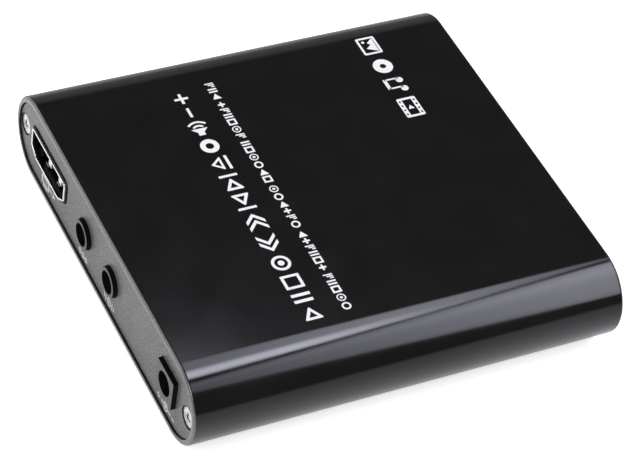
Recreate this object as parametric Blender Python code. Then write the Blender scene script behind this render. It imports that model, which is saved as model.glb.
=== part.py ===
"""A small media player: one flat tube housing, a plate at each end, and the electronics between them.

Metres, +Z up. The front plate faces -Y and the rear plate, with the sockets, faces +Y.
The origin lies on the table under the middle of the housing.
"""

import math

import bmesh
import bpy
from mathutils import Vector
from mathutils.geometry import delaunay_2d_cdt

# Housing tube
TUBE_WIDTH = 0.0770
TUBE_HEIGHT = 0.0157
TUBE_LENGTH = 0.0774
TUBE_WALL = 0.0012
BOSS_RADIUS = 0.0026
BOSS_INSET = 0.0033
BOSS_SLOT = 0.0012
LEDGE_THICKNESS = 0.00095
LEDGE_OVERLAP = 0.0014

# End plates
PLATE_THICKNESS = 0.0012
PLATE_RECESS = 0.00035
PLATE_GAP = 0.0002
PLATE_REBATE = 0.00015

# Plate screws
SCREW_HEAD_RADIUS = 0.0019
SCREW_HEAD_RIM = 0.00015
SCREW_HEAD_DEPTH = 0.0009
SCREW_SHANK_RADIUS = 0.00115
SCREW_LENGTH = 0.0068
SCREW_TIP = 0.0006
SCREW_SINK = 0.00005
CROSS_WIDTH = 0.00050
CROSS_LENGTH = 0.0021
CROSS_DEPTH = 0.0008

# Feet
FOOT_HEIGHT = 0.0010
FOOT_RADIUS = 0.0040
FOOT_INSET_X = 0.0135
FOOT_INSET_Y = 0.0087
FOOT_ROUND = 0.00025

# Clearances
SEAT_GAP = 0.0002
RUN_GAP = 0.0002
LEG_GAP = 0.00025
CUT_OVERRUN = 0.0005
JOIN_OVERLAP = 0.0005
JOIN_TOLERANCE = 0.000000001

# Main board
BOARD_INSET = 0.0035
BOARD_THICKNESS = 0.0016
BOARD_END_GAP = 0.00035
BOARD_SLOT_GAP = 0.00035
LEG_LENGTH = 0.0008

# Sockets that stand out of their plate
SOCKET_PROUD = 0.0008

# HDMI socket
HDMI_INSET = 0.0146
HDMI_WIDTH = 0.0150
HDMI_HEIGHT = 0.0054
HDMI_CHAMFER_WIDTH = 0.0023
HDMI_CHAMFER_HEIGHT = 0.0015
HDMI_WALL = 0.00035
HDMI_DEPTH = 0.0115
HDMI_PROUD = 0.0005
HDMI_RAISE = 0.00035
HDMI_PLATE_GAP = 0.0006
HDMI_BASE_DEPTH = 0.0030
HDMI_TONGUE_WIDTH = 0.0112
HDMI_TONGUE_HEIGHT = 0.0018
HDMI_TONGUE_INSET = 0.0020
HDMI_LEG_WIDTH = 0.0020
HDMI_LEG_INSET = 0.0022

# USB socket
USB_WIDTH = 0.0131
USB_HEIGHT = 0.0057
USB_WALL = 0.0003
USB_DEPTH = 0.0140
USB_PLATE_GAP = 0.0004
USB_BASE_DEPTH = 0.0032
USB_TONGUE_WIDTH = 0.0111
USB_TONGUE_HEIGHT = 0.00184
USB_TONGUE_DROP = 0.0007
USB_TONGUE_INSET = 0.0010
USB_LEG_WIDTH = 0.0020
USB_LEG_INSET = 0.0030

# 3.5 mm jacks
AV_JACK_TO_HDMI = 0.0162
JACK_SPACING = 0.0115
JACK_AXIS_RAISE = 0.0025
JACK_BODY_WIDTH = 0.0062
JACK_BODY_DEPTH = 0.0120
JACK_BODY_ABOVE_AXIS = 0.0026
JACK_BARREL_RADIUS = 0.00255
JACK_PLATE_GAP = 0.00035
JACK_BORE_RADIUS = 0.0018
JACK_BORE_DEPTH = 0.0118
JACK_PEG_RADIUS = 0.00045
JACK_PEG_INSET = 0.0020

# DC power socket
DC_INSET = 0.0108
DC_AXIS_RAISE = 0.0032
DC_BODY_WIDTH = 0.0064
DC_BODY_HEIGHT = 0.0060
DC_BODY_DEPTH = 0.0112
DC_CHAMFER = 0.0005
DC_BORE_RADIUS = 0.0020
DC_BORE_DEPTH = 0.0092
DC_PIN_RADIUS = 0.00065
DC_PIN_INSET = 0.0012
DC_PIN_TAIL = 0.0012
DC_LEG_WIDTH = 0.0016
DC_LEG_THICKNESS = 0.0005

# Sprung contacts of the jacks and the power socket
LEAF_THICKNESS = 0.0003
LEAF_HEIGHT = 0.0012
LEAF_LENGTH = 0.0080
LEAF_BULGE = 0.0010
LEAF_TIP_RETURN = 0.0005
LEAF_PIN_RADIUS = 0.00035
LEAF_PIN_INSET = 0.0012
JACK_LEAF_OFFSET = 0.00245
DC_LEAF_OFFSET = 0.0026

# Memory card slot
SD_WIDTH = 0.0290
SD_DEPTH = 0.0280
SD_FLOOR = 0.0005
SD_CARD_WIDTH = 0.0240
SD_CARD_CLEARANCE = 0.0003
SD_RAIL_HEIGHT = 0.0025
SD_SIDE_WALL = 0.0008
SD_REAR_WALL = 0.0006
SD_COVER_THICKNESS = 0.0003
SD_CARRIAGE_WIDTH = 0.0023
SD_CARRIAGE_HEIGHT = 0.0020
SD_CARRIAGE_START = 0.0060
SD_CARRIAGE_LENGTH = 0.0135
SD_ARM_WIDTH = 0.0006
SD_TAB_LENGTH = 0.0060
SD_TAB_THICKNESS = 0.0010
SD_TAB_TO_WALL = 0.0045
SD_SPRING_RADIUS = 0.00055
SD_SPRING_WIRE_RADIUS = 0.00012
SD_SPRING_TURNS = 9
SD_MOUTH_MARGIN = 0.0004

# Infrared window and receiver
IR_WINDOW_WIDTH = 0.0070
IR_WINDOW_HEIGHT = 0.0038
IR_WINDOW_LIP = 0.0007
IR_WINDOW_LIP_THICKNESS = 0.0008
IR_BODY_WIDTH = 0.0050
IR_BODY_DEPTH = 0.0026
IR_BODY_HEIGHT = 0.0070
IR_LENS_RADIUS = 0.0018
IR_LENS_TO_WINDOW = 0.0010
IR_LEG_SPACING = 0.0018
IR_LEG_WIDTH = 0.0005
IR_SHIFT = 0.0009

# Status light, behind the infrared window
LED_SIZE = (0.0014, 0.0030, 0.0019)
LED_TO_RECEIVER = 0.0004
LED_TO_WINDOW = 0.0006

# Decoder and its cooling
CHIP_SIDE = 0.0170
CHIP_HEIGHT = 0.0014
PAD_SIDE = 0.0150
PAD_THICKNESS = 0.0005
SINK_SIDE = 0.0200
SINK_BASE = 0.0015
SINK_HEIGHT = 0.0055
SINK_FINS = 7
SINK_FIN_THICKNESS = 0.0012

# Other parts on the board, as (width, length, height) where one value holds all three
MEMORY_SIZE = (0.0090, 0.0130, 0.0011)
FLASH_SIZE = (0.0050, 0.0060, 0.0016)
AUDIO_SIZE = (0.0044, 0.0050, 0.0010)
CRYSTAL_SIZE = (0.0032, 0.0050, 0.0013)
CRYSTAL_CORNER = 0.0006
INDUCTOR_SIZE = (0.0070, 0.0070, 0.0040)
INDUCTOR_CORNER = 0.0015
REGULATOR_SIZE = (0.0065, 0.0035, 0.0016)
REGULATOR_TAB_WIDTH = 0.0030
REGULATOR_TAB_LENGTH = 0.0018
REGULATOR_TAB_HEIGHT = 0.0008
CAPACITOR_BASE = 0.0066
CAPACITOR_BASE_HEIGHT = 0.0011
CAPACITOR_RADIUS = 0.00315
CAPACITOR_HEIGHT = 0.0054
CAPACITOR_ROUND = 0.0003

# Roundness of the curves, in sides
TUBE_SIDE_STEPS = 28
CIRCLE_STEPS = 32
SMALL_CIRCLE_STEPS = 16
WIRE_STEPS = 6
SPRING_STEPS_PER_TURN = 10


def spaced(start, end, sizes):
    """The middles of pieces of these sizes, set between two ends with even gaps."""
    gap = (end - start - sum(sizes)) / (len(sizes) + 1)
    middles = []
    for size in sizes:
        middles.append(start + gap + size / 2)
        start = middles[-1] + size / 2
    return middles


# Places that follow from the sizes
TUBE_BOTTOM = FOOT_HEIGHT
TUBE_AXIS_Z = TUBE_BOTTOM + TUBE_HEIGHT / 2
TUBE_FLAT = TUBE_WIDTH / 2 - TUBE_HEIGHT / 2
OUTER_RADIUS = TUBE_HEIGHT / 2
INNER_RADIUS = OUTER_RADIUS - TUBE_WALL
END_Y = TUBE_LENGTH / 2
PLATE_FACE_Y = END_Y - PLATE_RECESS
PLATE_BACK_Y = PLATE_FACE_Y - PLATE_THICKNESS
POCKET_FLOOR_Y = PLATE_BACK_Y - SEAT_GAP
POCKET_RADIUS = INNER_RADIUS + PLATE_REBATE
PLATE_RADIUS = POCKET_RADIUS - PLATE_GAP
SOCKET_FACE_Y = PLATE_FACE_Y + SOCKET_PROUD
BOSS_X = TUBE_WIDTH / 2 - BOSS_INSET
BOSS_BORE_RADIUS = SCREW_SHANK_RADIUS + RUN_GAP
INSIDE_X = BOSS_X - BOSS_RADIUS
BOARD_EDGE_X = TUBE_WIDTH / 2 - BOARD_INSET
BOARD_TOP = TUBE_AXIS_Z - BOSS_RADIUS - BOARD_SLOT_GAP
BOARD_BOTTOM = BOARD_TOP - BOARD_THICKNESS
BOARD_END_Y = PLATE_BACK_Y - BOARD_END_GAP
PART_SEAT = BOARD_TOP + SEAT_GAP
LEG_END = BOARD_BOTTOM - LEG_LENGTH

HDMI_X = TUBE_WIDTH / 2 - HDMI_INSET
AV_JACK_X = HDMI_X - AV_JACK_TO_HDMI
COAX_JACK_X = AV_JACK_X - JACK_SPACING
DC_X = DC_INSET - TUBE_WIDTH / 2
IR_LIP_WIDTH = IR_WINDOW_WIDTH + 2 * IR_WINDOW_LIP
SD_X, USB_X, IR_X = spaced(-INSIDE_X, INSIDE_X, [SD_WIDTH, USB_WIDTH, IR_LIP_WIDTH])

HDMI_BOTTOM = BOARD_TOP + HDMI_RAISE
HDMI_AXIS_Z = HDMI_BOTTOM + HDMI_HEIGHT / 2
HDMI_FRONT_Y = PLATE_FACE_Y + HDMI_PROUD
HDMI_REAR_Y = HDMI_FRONT_Y - HDMI_DEPTH
USB_AXIS_Z = PART_SEAT + USB_HEIGHT / 2
USB_REAR_Y = SOCKET_FACE_Y - USB_DEPTH
JACK_AXIS_Z = BOARD_TOP + JACK_AXIS_RAISE
JACK_BODY_FRONT_Y = PLATE_BACK_Y - SEAT_GAP
JACK_BODY_REAR_Y = JACK_BODY_FRONT_Y - JACK_BODY_DEPTH
DC_AXIS_Z = BOARD_TOP + DC_AXIS_RAISE
DC_REAR_Y = SOCKET_FACE_Y - DC_BODY_DEPTH
LEAF_PIVOT_OUTSET = LEAF_PIN_RADIUS + LEAF_PIN_INSET
JACK_LEAF_Y = JACK_BODY_REAR_Y + LEAF_PIVOT_OUTSET
DC_LEAF_Y = DC_REAR_Y + LEAF_PIVOT_OUTSET

SD_FRONT_Y = -(PLATE_BACK_Y - SEAT_GAP)
SD_REAR_Y = SD_FRONT_Y + SD_DEPTH
SD_LEFT_X = SD_X - SD_WIDTH / 2
SD_RIGHT_X = SD_X + SD_WIDTH / 2
SD_FLOOR_TOP = PART_SEAT + SD_FLOOR
SD_RAIL_TOP = SD_FLOOR_TOP + SD_RAIL_HEIGHT
SD_CARRIAGE_LEFT_X = SD_LEFT_X + SD_SIDE_WALL + RUN_GAP
SD_CARRIAGE_RIGHT_X = SD_CARRIAGE_LEFT_X + SD_CARRIAGE_WIDTH
SD_CARRIAGE_FRONT_Y = SD_FRONT_Y + SD_CARRIAGE_START
SD_BAR_END_Y = SD_CARRIAGE_FRONT_Y + SD_CARRIAGE_LENGTH
SD_WALL_Y = SD_REAR_Y - SD_REAR_WALL
SD_TAB_END_Y = SD_WALL_Y - SD_TAB_TO_WALL
SD_CARD_LEFT_X = SD_CARRIAGE_RIGHT_X + RUN_GAP
SD_CARD_RIGHT_X = SD_CARD_LEFT_X + SD_CARD_WIDTH + SD_CARD_CLEARANCE
SD_SPRING_X = SD_CARRIAGE_LEFT_X + SD_SPRING_RADIUS + SD_SPRING_WIRE_RADIUS
SD_SPRING_Z = SD_FLOOR_TOP + RUN_GAP + SD_CARRIAGE_HEIGHT / 2

IR_RECEIVER_X = IR_X - IR_SHIFT
IR_LENS_Y = -(PLATE_BACK_Y - SEAT_GAP - IR_WINDOW_LIP_THICKNESS - IR_LENS_TO_WINDOW)
IR_BODY_FRONT_Y = IR_LENS_Y + IR_LENS_RADIUS / 2
IR_BODY_REAR_Y = IR_BODY_FRONT_Y + IR_BODY_DEPTH
LED_FRONT_Y = -(PLATE_BACK_Y - SEAT_GAP - IR_WINDOW_LIP_THICKNESS - LED_TO_WINDOW)
LED_PLACE = (
    IR_RECEIVER_X + IR_BODY_WIDTH / 2 + LED_TO_RECEIVER + LED_SIZE[0] / 2,
    LED_FRONT_Y + LED_SIZE[1] / 2,
)

COLUMN_WIDTHS = [INDUCTOR_SIZE[0], CAPACITOR_BASE, FLASH_SIZE[0], SINK_SIDE, MEMORY_SIZE[0]]
INDUCTOR_X, CAPACITOR_X, FLASH_X, CHIP_X, MEMORY_X = spaced(-INSIDE_X, INSIDE_X, COLUMN_WIDTHS)
CHIP_Y = (SD_REAR_Y + JACK_BODY_REAR_Y) / 2
POWER_LENGTHS = [REGULATOR_SIZE[1] + REGULATOR_TAB_LENGTH, INDUCTOR_SIZE[1], INDUCTOR_SIZE[1]]

PAD_BOTTOM = PART_SEAT + CHIP_HEIGHT + SEAT_GAP
SINK_BOTTOM = PAD_BOTTOM + PAD_THICKNESS + SEAT_GAP

# For each axis, the two others and then the axis itself
PLANES = {"X": "YZX", "Y": "XZY", "Z": "XYZ"}


def clear_scene():
    for item in list(bpy.data.objects):
        bpy.data.objects.remove(item, do_unlink=True)


def finish(name, color, roughness, metallic=0.0):
    material = bpy.data.materials.new(name)
    material.use_nodes = True
    shader = material.node_tree.nodes["Principled BSDF"]
    shader.inputs["Base Color"].default_value = (*color, 1.0)
    shader.inputs["Roughness"].default_value = roughness
    shader.inputs["Metallic"].default_value = metallic
    material.diffuse_color = (*color, 1.0)
    return material


def rectangle(left, low, right, high):
    return [(left, low), (right, low), (right, high), (left, high)]


def centred(u, v, width, height):
    return rectangle(u - width / 2, v - height / 2, u + width / 2, v + height / 2)


def circle(u, v, radius, steps=CIRCLE_STEPS):
    turns = [2 * math.pi * step / steps for step in range(steps)]
    return [(u + radius * math.cos(turn), v + radius * math.sin(turn)) for turn in turns]


def stadium(u, v, flat, radius, steps=TUBE_SIDE_STEPS):
    """A flat oval: two half circles with their centres at u - flat and u + flat."""
    points = []
    for side, first in ((1, -math.pi / 2), (-1, math.pi / 2)):
        for step in range(steps + 1):
            turn = first + math.pi * step / steps
            points.append((u + side * flat + radius * math.cos(turn), v + radius * math.sin(turn)))
    return points


def chamfered(u, v, width, height, chamfer):
    left, right = u - width / 2, u + width / 2
    low, high = v - height / 2, v + height / 2
    return [
        (left + chamfer, low),
        (right - chamfer, low),
        (right, low + chamfer),
        (right, high - chamfer),
        (right - chamfer, high),
        (left + chamfer, high),
        (left, high - chamfer),
        (left, low + chamfer),
    ]


def is_inside(point, loop):
    inside = False
    for (u1, v1), (u2, v2) in zip(loop, loop[1:] + loop[:1]):
        crosses = (v1 > point.y) != (v2 > point.y)
        if crosses and point.x < u1 + (point.y - v1) * (u2 - u1) / (v2 - v1):
            inside = not inside
    return inside


def triangles_between(points, loops):
    """The triangles inside the first loop and outside the others, as places in the list of points."""
    edges = []
    base = 0
    for loop in loops:
        edges += [(base + index, base + (index + 1) % len(loop)) for index in range(len(loop))]
        base += len(loop)
    made = delaunay_2d_cdt(points, edges, [], 1, JOIN_TOLERANCE)
    kept = []
    for triangle in made[2]:
        corners = [made[3][corner][0] for corner in triangle]
        middle = sum((points[corner] for corner in corners), Vector((0.0, 0.0))) / len(corners)
        if sum(is_inside(middle, loop) for loop in loops) == 1:
            kept.append(corners)
    return kept


def add_prism(mesh, axis, start, end, loops):
    """Pulls an outline, followed by its holes, along an axis into a closed solid."""
    first, second, along = ("XYZ".index(letter) for letter in PLANES[axis])

    def corner(point, level):
        place = [0.0, 0.0, 0.0]
        place[first], place[second], place[along] = point[0], point[1], level
        return mesh.verts.new(place)

    points = [Vector(point) for loop in loops for point in loop]
    low = [corner(point, start) for point in points]
    high = [corner(point, end) for point in points]
    made = []
    for triangle in triangles_between(points, loops):
        made.append(mesh.faces.new([low[index] for index in triangle]))
        made.append(mesh.faces.new([high[index] for index in reversed(triangle)]))
    base = 0
    for loop in loops:
        for index in range(len(loop)):
            here = base + index
            after = base + (index + 1) % len(loop)
            made.append(mesh.faces.new((low[here], low[after], high[after], high[here])))
        base += len(loop)
    bmesh.ops.recalc_face_normals(mesh, faces=made)


def add_sleeve(mesh, sections):
    """Joins outlines of equally many points, each at its own Y, into a closed tube wall."""
    rings = [[mesh.verts.new((u, level, v)) for u, v in outline] for outline, level in sections]
    made = []
    for ring, following in zip(rings, rings[1:] + rings[:1]):
        for index in range(len(ring)):
            after = (index + 1) % len(ring)
            made.append(mesh.faces.new((ring[index], ring[after], following[after], following[index])))
    bmesh.ops.recalc_face_normals(mesh, faces=made)


def add_turned(mesh, axis, place, direction, profile, steps=CIRCLE_STEPS):
    """Turns (radius, distance) pairs round an axis into a closed solid. An end off the axis is flat."""
    first, second, along = ("XYZ".index(letter) for letter in PLANES[axis])
    rings = []
    for radius, distance in profile:
        ring = []
        for step in range(steps if radius > 0 else 1):
            turn = 2 * math.pi * step / steps
            spot = list(place)
            spot[first] += radius * math.cos(turn)
            spot[second] += radius * math.sin(turn)
            spot[along] += direction * distance
            ring.append(mesh.verts.new(spot))
        rings.append(ring)
    made = []
    for ring, following in zip(rings, rings[1:]):
        for step in range(steps):
            corners = []
            for vertex in (
                ring[step % len(ring)],
                ring[(step + 1) % len(ring)],
                following[(step + 1) % len(following)],
                following[step % len(following)],
            ):
                if vertex not in corners:
                    corners.append(vertex)
            made.append(mesh.faces.new(corners))
    for ring in (rings[0], rings[-1]):
        if len(ring) > 1:
            made.append(mesh.faces.new(ring))
    bmesh.ops.recalc_face_normals(mesh, faces=made)


def add_rod(mesh, axis, u, v, start, end, radius, steps=SMALL_CIRCLE_STEPS):
    add_prism(mesh, axis, start, end, [circle(u, v, radius, steps)])


def add_box(mesh, x_range, y_range, z_range):
    outline = rectangle(x_range[0], y_range[0], x_range[1], y_range[1])
    add_prism(mesh, "Z", z_range[0], z_range[1], [outline])


def make_object(name, mesh, place):
    """Turns a mesh made in world coordinates into an object whose origin is at a place."""
    bmesh.ops.translate(mesh, verts=list(mesh.verts), vec=-Vector(place))
    data = bpy.data.meshes.new(name)
    mesh.to_mesh(data)
    mesh.free()
    made = bpy.data.objects.new(name, data)
    made.location = place
    bpy.context.scene.collection.objects.link(made)
    return made


def piece(name, mesh, place, material):
    made = make_object(name, mesh, place)
    made.data.materials.append(material)
    made.parent = bpy.data.objects["media_player"]
    return made


def combine(target, operation, mesh):
    """Joins or cuts a piece with a helper that is kept as a Boolean operand."""
    helper = make_object(f"{target.name}_{operation.lower()}", mesh, target.location)
    helper.hide_render = True
    helper.display_type = "WIRE"
    modifier = target.modifiers.new(helper.name, "BOOLEAN")
    modifier.operation = operation
    modifier.solver = "EXACT"
    modifier.object = helper


def make_housing():
    centre = (0.0, 0.0, TUBE_AXIS_Z)
    outer, pocket, hollow = (
        stadium(0.0, TUBE_AXIS_Z, TUBE_FLAT, radius)
        for radius in (OUTER_RADIUS, POCKET_RADIUS, INNER_RADIUS)
    )
    shell = bmesh.new()
    sections = [
        (outer, -END_Y),
        (outer, END_Y),
        (pocket, END_Y),
        (pocket, POCKET_FLOOR_Y),
        (hollow, POCKET_FLOOR_Y),
        (hollow, -POCKET_FLOOR_Y),
        (pocket, -POCKET_FLOOR_Y),
        (pocket, -END_Y),
    ]
    add_sleeve(shell, sections)
    tube = piece("housing_tube", shell, centre, FINISHES["anodised"])

    inside_end = POCKET_FLOOR_Y - SEAT_GAP
    ledge_top = BOARD_BOTTOM - SEAT_GAP
    ledge_bottom = ledge_top - LEDGE_THICKNESS
    ledge_inner_x = BOARD_EDGE_X - LEDGE_OVERLAP
    ledge_drop = TUBE_AXIS_Z - (ledge_top + ledge_bottom) / 2
    mid_wall_radius = OUTER_RADIUS - TUBE_WALL / 2
    ledge_outer_x = TUBE_FLAT + math.sqrt(mid_wall_radius**2 - ledge_drop**2)
    inside = bmesh.new()
    for side in (-1, 1):
        add_rod(inside, "Y", side * BOSS_X, TUBE_AXIS_Z, -inside_end, inside_end, BOSS_RADIUS, CIRCLE_STEPS)
        ledge_x = sorted((side * ledge_inner_x, side * ledge_outer_x))
        add_box(inside, ledge_x, (-inside_end, inside_end), (ledge_bottom, ledge_top))
    combine(tube, "UNION", inside)

    bores = bmesh.new()
    for side in (-1, 1):
        add_prism(bores, "Y", -END_Y, END_Y, [screw_channel(side)])
    combine(tube, "DIFFERENCE", bores)


def screw_channel(side):
    """The bore of a screw boss with its slot towards the middle of the tube."""
    opening = math.asin(BOSS_SLOT / 2 / BOSS_BORE_RADIUS)
    points = []
    for step in range(CIRCLE_STEPS + 1):
        turn = -math.pi + opening + (2 * math.pi - 2 * opening) * step / CIRCLE_STEPS
        across = BOSS_X + BOSS_BORE_RADIUS * math.cos(turn)
        points.append((side * across, TUBE_AXIS_Z + BOSS_BORE_RADIUS * math.sin(turn)))
    slot_end = BOSS_X - BOSS_RADIUS - CUT_OVERRUN
    points.append((side * slot_end, TUBE_AXIS_Z + BOSS_SLOT / 2))
    points.append((side * slot_end, TUBE_AXIS_Z - BOSS_SLOT / 2))
    return points


def make_plate(name, side, holes):
    plate = bmesh.new()
    outline = stadium(0.0, TUBE_AXIS_Z, TUBE_FLAT, PLATE_RADIUS)
    ends = sorted((side * PLATE_BACK_Y, side * PLATE_FACE_Y))
    add_prism(plate, "Y", ends[0], ends[1], [outline, *holes])
    place = (0.0, side * PLATE_BACK_Y, TUBE_AXIS_Z)
    made = piece(name, plate, place, FINISHES["anodised"])

    countersinks = bmesh.new()
    wide = SCREW_HEAD_RADIUS + PLATE_GAP
    narrow = SCREW_SHANK_RADIUS + PLATE_GAP
    rim_depth = SCREW_SINK + SCREW_HEAD_RIM
    cone_depth = SCREW_SINK + SCREW_HEAD_DEPTH
    profile = [
        (wide, -CUT_OVERRUN),
        (wide, rim_depth),
        (narrow, cone_depth),
        (narrow, PLATE_THICKNESS + CUT_OVERRUN),
    ]
    for screw_side in (-1, 1):
        face = (screw_side * BOSS_X, side * PLATE_FACE_Y, TUBE_AXIS_Z)
        add_turned(countersinks, "Y", face, -side, profile)
    combine(made, "DIFFERENCE", countersinks)


def make_rear_plate():
    holes = [
        hdmi_outline(HDMI_PLATE_GAP),
        circle(AV_JACK_X, JACK_AXIS_Z, JACK_BARREL_RADIUS + JACK_PLATE_GAP),
        circle(COAX_JACK_X, JACK_AXIS_Z, JACK_BARREL_RADIUS + JACK_PLATE_GAP),
        chamfered(
            DC_X,
            DC_AXIS_Z,
            DC_BODY_WIDTH + 2 * PLATE_GAP,
            DC_BODY_HEIGHT + 2 * PLATE_GAP,
            DC_CHAMFER + PLATE_GAP / 2,
        ),
    ]
    make_plate("rear_panel", 1, holes)


def make_front_plate():
    mouth_low = SD_FLOOR_TOP - SD_MOUTH_MARGIN
    mouth_high = SD_RAIL_TOP + SD_MOUTH_MARGIN
    mouth_left = SD_CARD_LEFT_X - SD_MOUTH_MARGIN
    mouth_right = SD_CARD_RIGHT_X + SD_MOUTH_MARGIN
    window_radius = IR_WINDOW_HEIGHT / 2 + PLATE_GAP
    window_flat = IR_WINDOW_WIDTH / 2 - IR_WINDOW_HEIGHT / 2
    holes = [
        centred(USB_X, USB_AXIS_Z, USB_WIDTH + 2 * USB_PLATE_GAP, USB_HEIGHT + 2 * USB_PLATE_GAP),
        rectangle(mouth_left, mouth_low, mouth_right, mouth_high),
        stadium(IR_X, TUBE_AXIS_Z, window_flat, window_radius, SMALL_CIRCLE_STEPS),
    ]
    make_plate("front_panel", -1, holes)


def make_screw(name, x, side):
    screw = bmesh.new()
    head_face = (x, side * (PLATE_FACE_Y - SCREW_SINK), TUBE_AXIS_Z)
    profile = [
        (SCREW_HEAD_RADIUS, 0.0),
        (SCREW_HEAD_RADIUS, SCREW_HEAD_RIM),
        (SCREW_SHANK_RADIUS, SCREW_HEAD_DEPTH),
        (SCREW_SHANK_RADIUS, SCREW_LENGTH - SCREW_TIP),
        (SCREW_SHANK_RADIUS / 2, SCREW_LENGTH),
    ]
    add_turned(screw, "Y", head_face, -side, profile)
    made = piece(name, screw, head_face, FINISHES["screw"])

    recess = bmesh.new()
    arm = CROSS_LENGTH / 2
    half = CROSS_WIDTH / 2
    cross = [
        (-half, -arm),
        (half, -arm),
        (half, -half),
        (arm, -half),
        (arm, half),
        (half, half),
        (half, arm),
        (-half, arm),
        (-half, half),
        (-arm, half),
        (-arm, -half),
        (-half, -half),
    ]
    outline = [(x + u, TUBE_AXIS_Z + v) for u, v in cross]
    ends = sorted((head_face[1] + side * CUT_OVERRUN, head_face[1] - side * CROSS_DEPTH))
    add_prism(recess, "Y", ends[0], ends[1], [outline])
    combine(made, "DIFFERENCE", recess)


def make_screws():
    for plate, side in (("front", -1), ("rear", 1)):
        make_screw(f"{plate}_screw_left", -BOSS_X, side)
        make_screw(f"{plate}_screw_right", BOSS_X, side)


def make_feet():
    top = FOOT_HEIGHT - SEAT_GAP
    profile = [
        (FOOT_RADIUS - FOOT_ROUND, 0.0),
        (FOOT_RADIUS, FOOT_ROUND),
        (FOOT_RADIUS, top),
    ]
    for end, y_side in (("front", -1), ("rear", 1)):
        for name, x_side in (("left", -1), ("right", 1)):
            place = (x_side * (TUBE_WIDTH / 2 - FOOT_INSET_X), y_side * (END_Y - FOOT_INSET_Y), 0.0)
            foot = bmesh.new()
            add_turned(foot, "Z", place, 1, profile)
            piece(f"foot_{end}_{name}", foot, place, FINISHES["rubber"])


def hdmi_outline(grow):
    """The socket's outline, moved outwards by one distance all round."""
    slope = math.hypot(HDMI_CHAMFER_WIDTH, HDMI_CHAMFER_HEIGHT)
    change = HDMI_CHAMFER_WIDTH + HDMI_CHAMFER_HEIGHT - slope
    chamfer_width = HDMI_CHAMFER_WIDTH + grow * change / HDMI_CHAMFER_HEIGHT
    chamfer_height = HDMI_CHAMFER_HEIGHT + grow * change / HDMI_CHAMFER_WIDTH
    left = HDMI_X - HDMI_WIDTH / 2 - grow
    right = HDMI_X + HDMI_WIDTH / 2 + grow
    low = HDMI_BOTTOM - grow
    high = HDMI_BOTTOM + HDMI_HEIGHT + grow
    return [
        (left + chamfer_width, low),
        (right - chamfer_width, low),
        (right, low + chamfer_height),
        (right, high),
        (left, high),
        (left, low + chamfer_height),
    ]


def leg_places(x, width, wall, rear_y, depth, inset):
    """The middles of the four board legs of a socket shell, in its side walls."""
    across = width / 2 - wall / 2
    return [(x + side * across, y) for side in (-1, 1) for y in (rear_y + inset, rear_y + depth - 2 * inset)]


def hdmi_legs():
    return leg_places(HDMI_X, HDMI_WIDTH, HDMI_WALL, HDMI_REAR_Y, HDMI_DEPTH, HDMI_LEG_INSET)


def usb_legs():
    places = leg_places(USB_X, USB_WIDTH, USB_WALL, USB_REAR_Y, USB_DEPTH, USB_LEG_INSET)
    return [(x, -y) for x, y in places]


def make_shell(name, outer, inner, ends, legs, leg_width, wall, leg_top, place):
    shell = bmesh.new()
    add_prism(shell, "Y", ends[0], ends[1], [outer, inner])
    made = piece(name, shell, place, FINISHES["nickel"])
    feet = bmesh.new()
    for x, y in legs:
        x_range = (x - wall / 3, x + wall / 3)
        add_box(feet, x_range, (y - leg_width / 2, y + leg_width / 2), (LEG_END, leg_top))
    combine(made, "UNION", feet)


def make_hdmi():
    place = (HDMI_X, HDMI_FRONT_Y, HDMI_AXIS_Z)
    ends = (HDMI_REAR_Y, HDMI_FRONT_Y)
    outer, inner = hdmi_outline(0.0), hdmi_outline(-HDMI_WALL)
    make_shell("hdmi_shell", outer, inner, ends, hdmi_legs(), HDMI_LEG_WIDTH, HDMI_WALL, HDMI_AXIS_Z, place)

    insulator = bmesh.new()
    base_start = HDMI_REAR_Y + SEAT_GAP
    base_end = base_start + HDMI_BASE_DEPTH
    add_prism(insulator, "Y", base_start, base_end, [hdmi_outline(-HDMI_WALL - SEAT_GAP)])
    made = piece("hdmi_insulator", insulator, place, FINISHES["black_plastic"])
    tongue = bmesh.new()
    outline = centred(HDMI_X, HDMI_AXIS_Z, HDMI_TONGUE_WIDTH, HDMI_TONGUE_HEIGHT)
    add_prism(tongue, "Y", base_end - JOIN_OVERLAP, HDMI_FRONT_Y - HDMI_TONGUE_INSET, [outline])
    combine(made, "UNION", tongue)


def make_usb():
    place = (USB_X, -SOCKET_FACE_Y, USB_AXIS_Z)
    ends = (-SOCKET_FACE_Y, -USB_REAR_Y)
    outer = centred(USB_X, USB_AXIS_Z, USB_WIDTH, USB_HEIGHT)
    inner = centred(USB_X, USB_AXIS_Z, USB_WIDTH - 2 * USB_WALL, USB_HEIGHT - 2 * USB_WALL)
    make_shell("usb_shell", outer, inner, ends, usb_legs(), USB_LEG_WIDTH, USB_WALL, USB_AXIS_Z, place)

    insulator = bmesh.new()
    shrink = 2 * (USB_WALL + SEAT_GAP)
    base_start = -USB_REAR_Y - SEAT_GAP
    base_end = base_start - USB_BASE_DEPTH
    outline = centred(USB_X, USB_AXIS_Z, USB_WIDTH - shrink, USB_HEIGHT - shrink)
    add_prism(insulator, "Y", base_end, base_start, [outline])
    made = piece("usb_insulator", insulator, place, FINISHES["white_plastic"])
    tongue = bmesh.new()
    tongue_z = USB_AXIS_Z + USB_HEIGHT / 2 - USB_WALL - USB_TONGUE_DROP - USB_TONGUE_HEIGHT / 2
    outline = centred(USB_X, tongue_z, USB_TONGUE_WIDTH, USB_TONGUE_HEIGHT)
    add_prism(tongue, "Y", -SOCKET_FACE_Y + USB_TONGUE_INSET, base_end + JOIN_OVERLAP, [outline])
    combine(made, "UNION", tongue)


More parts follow.
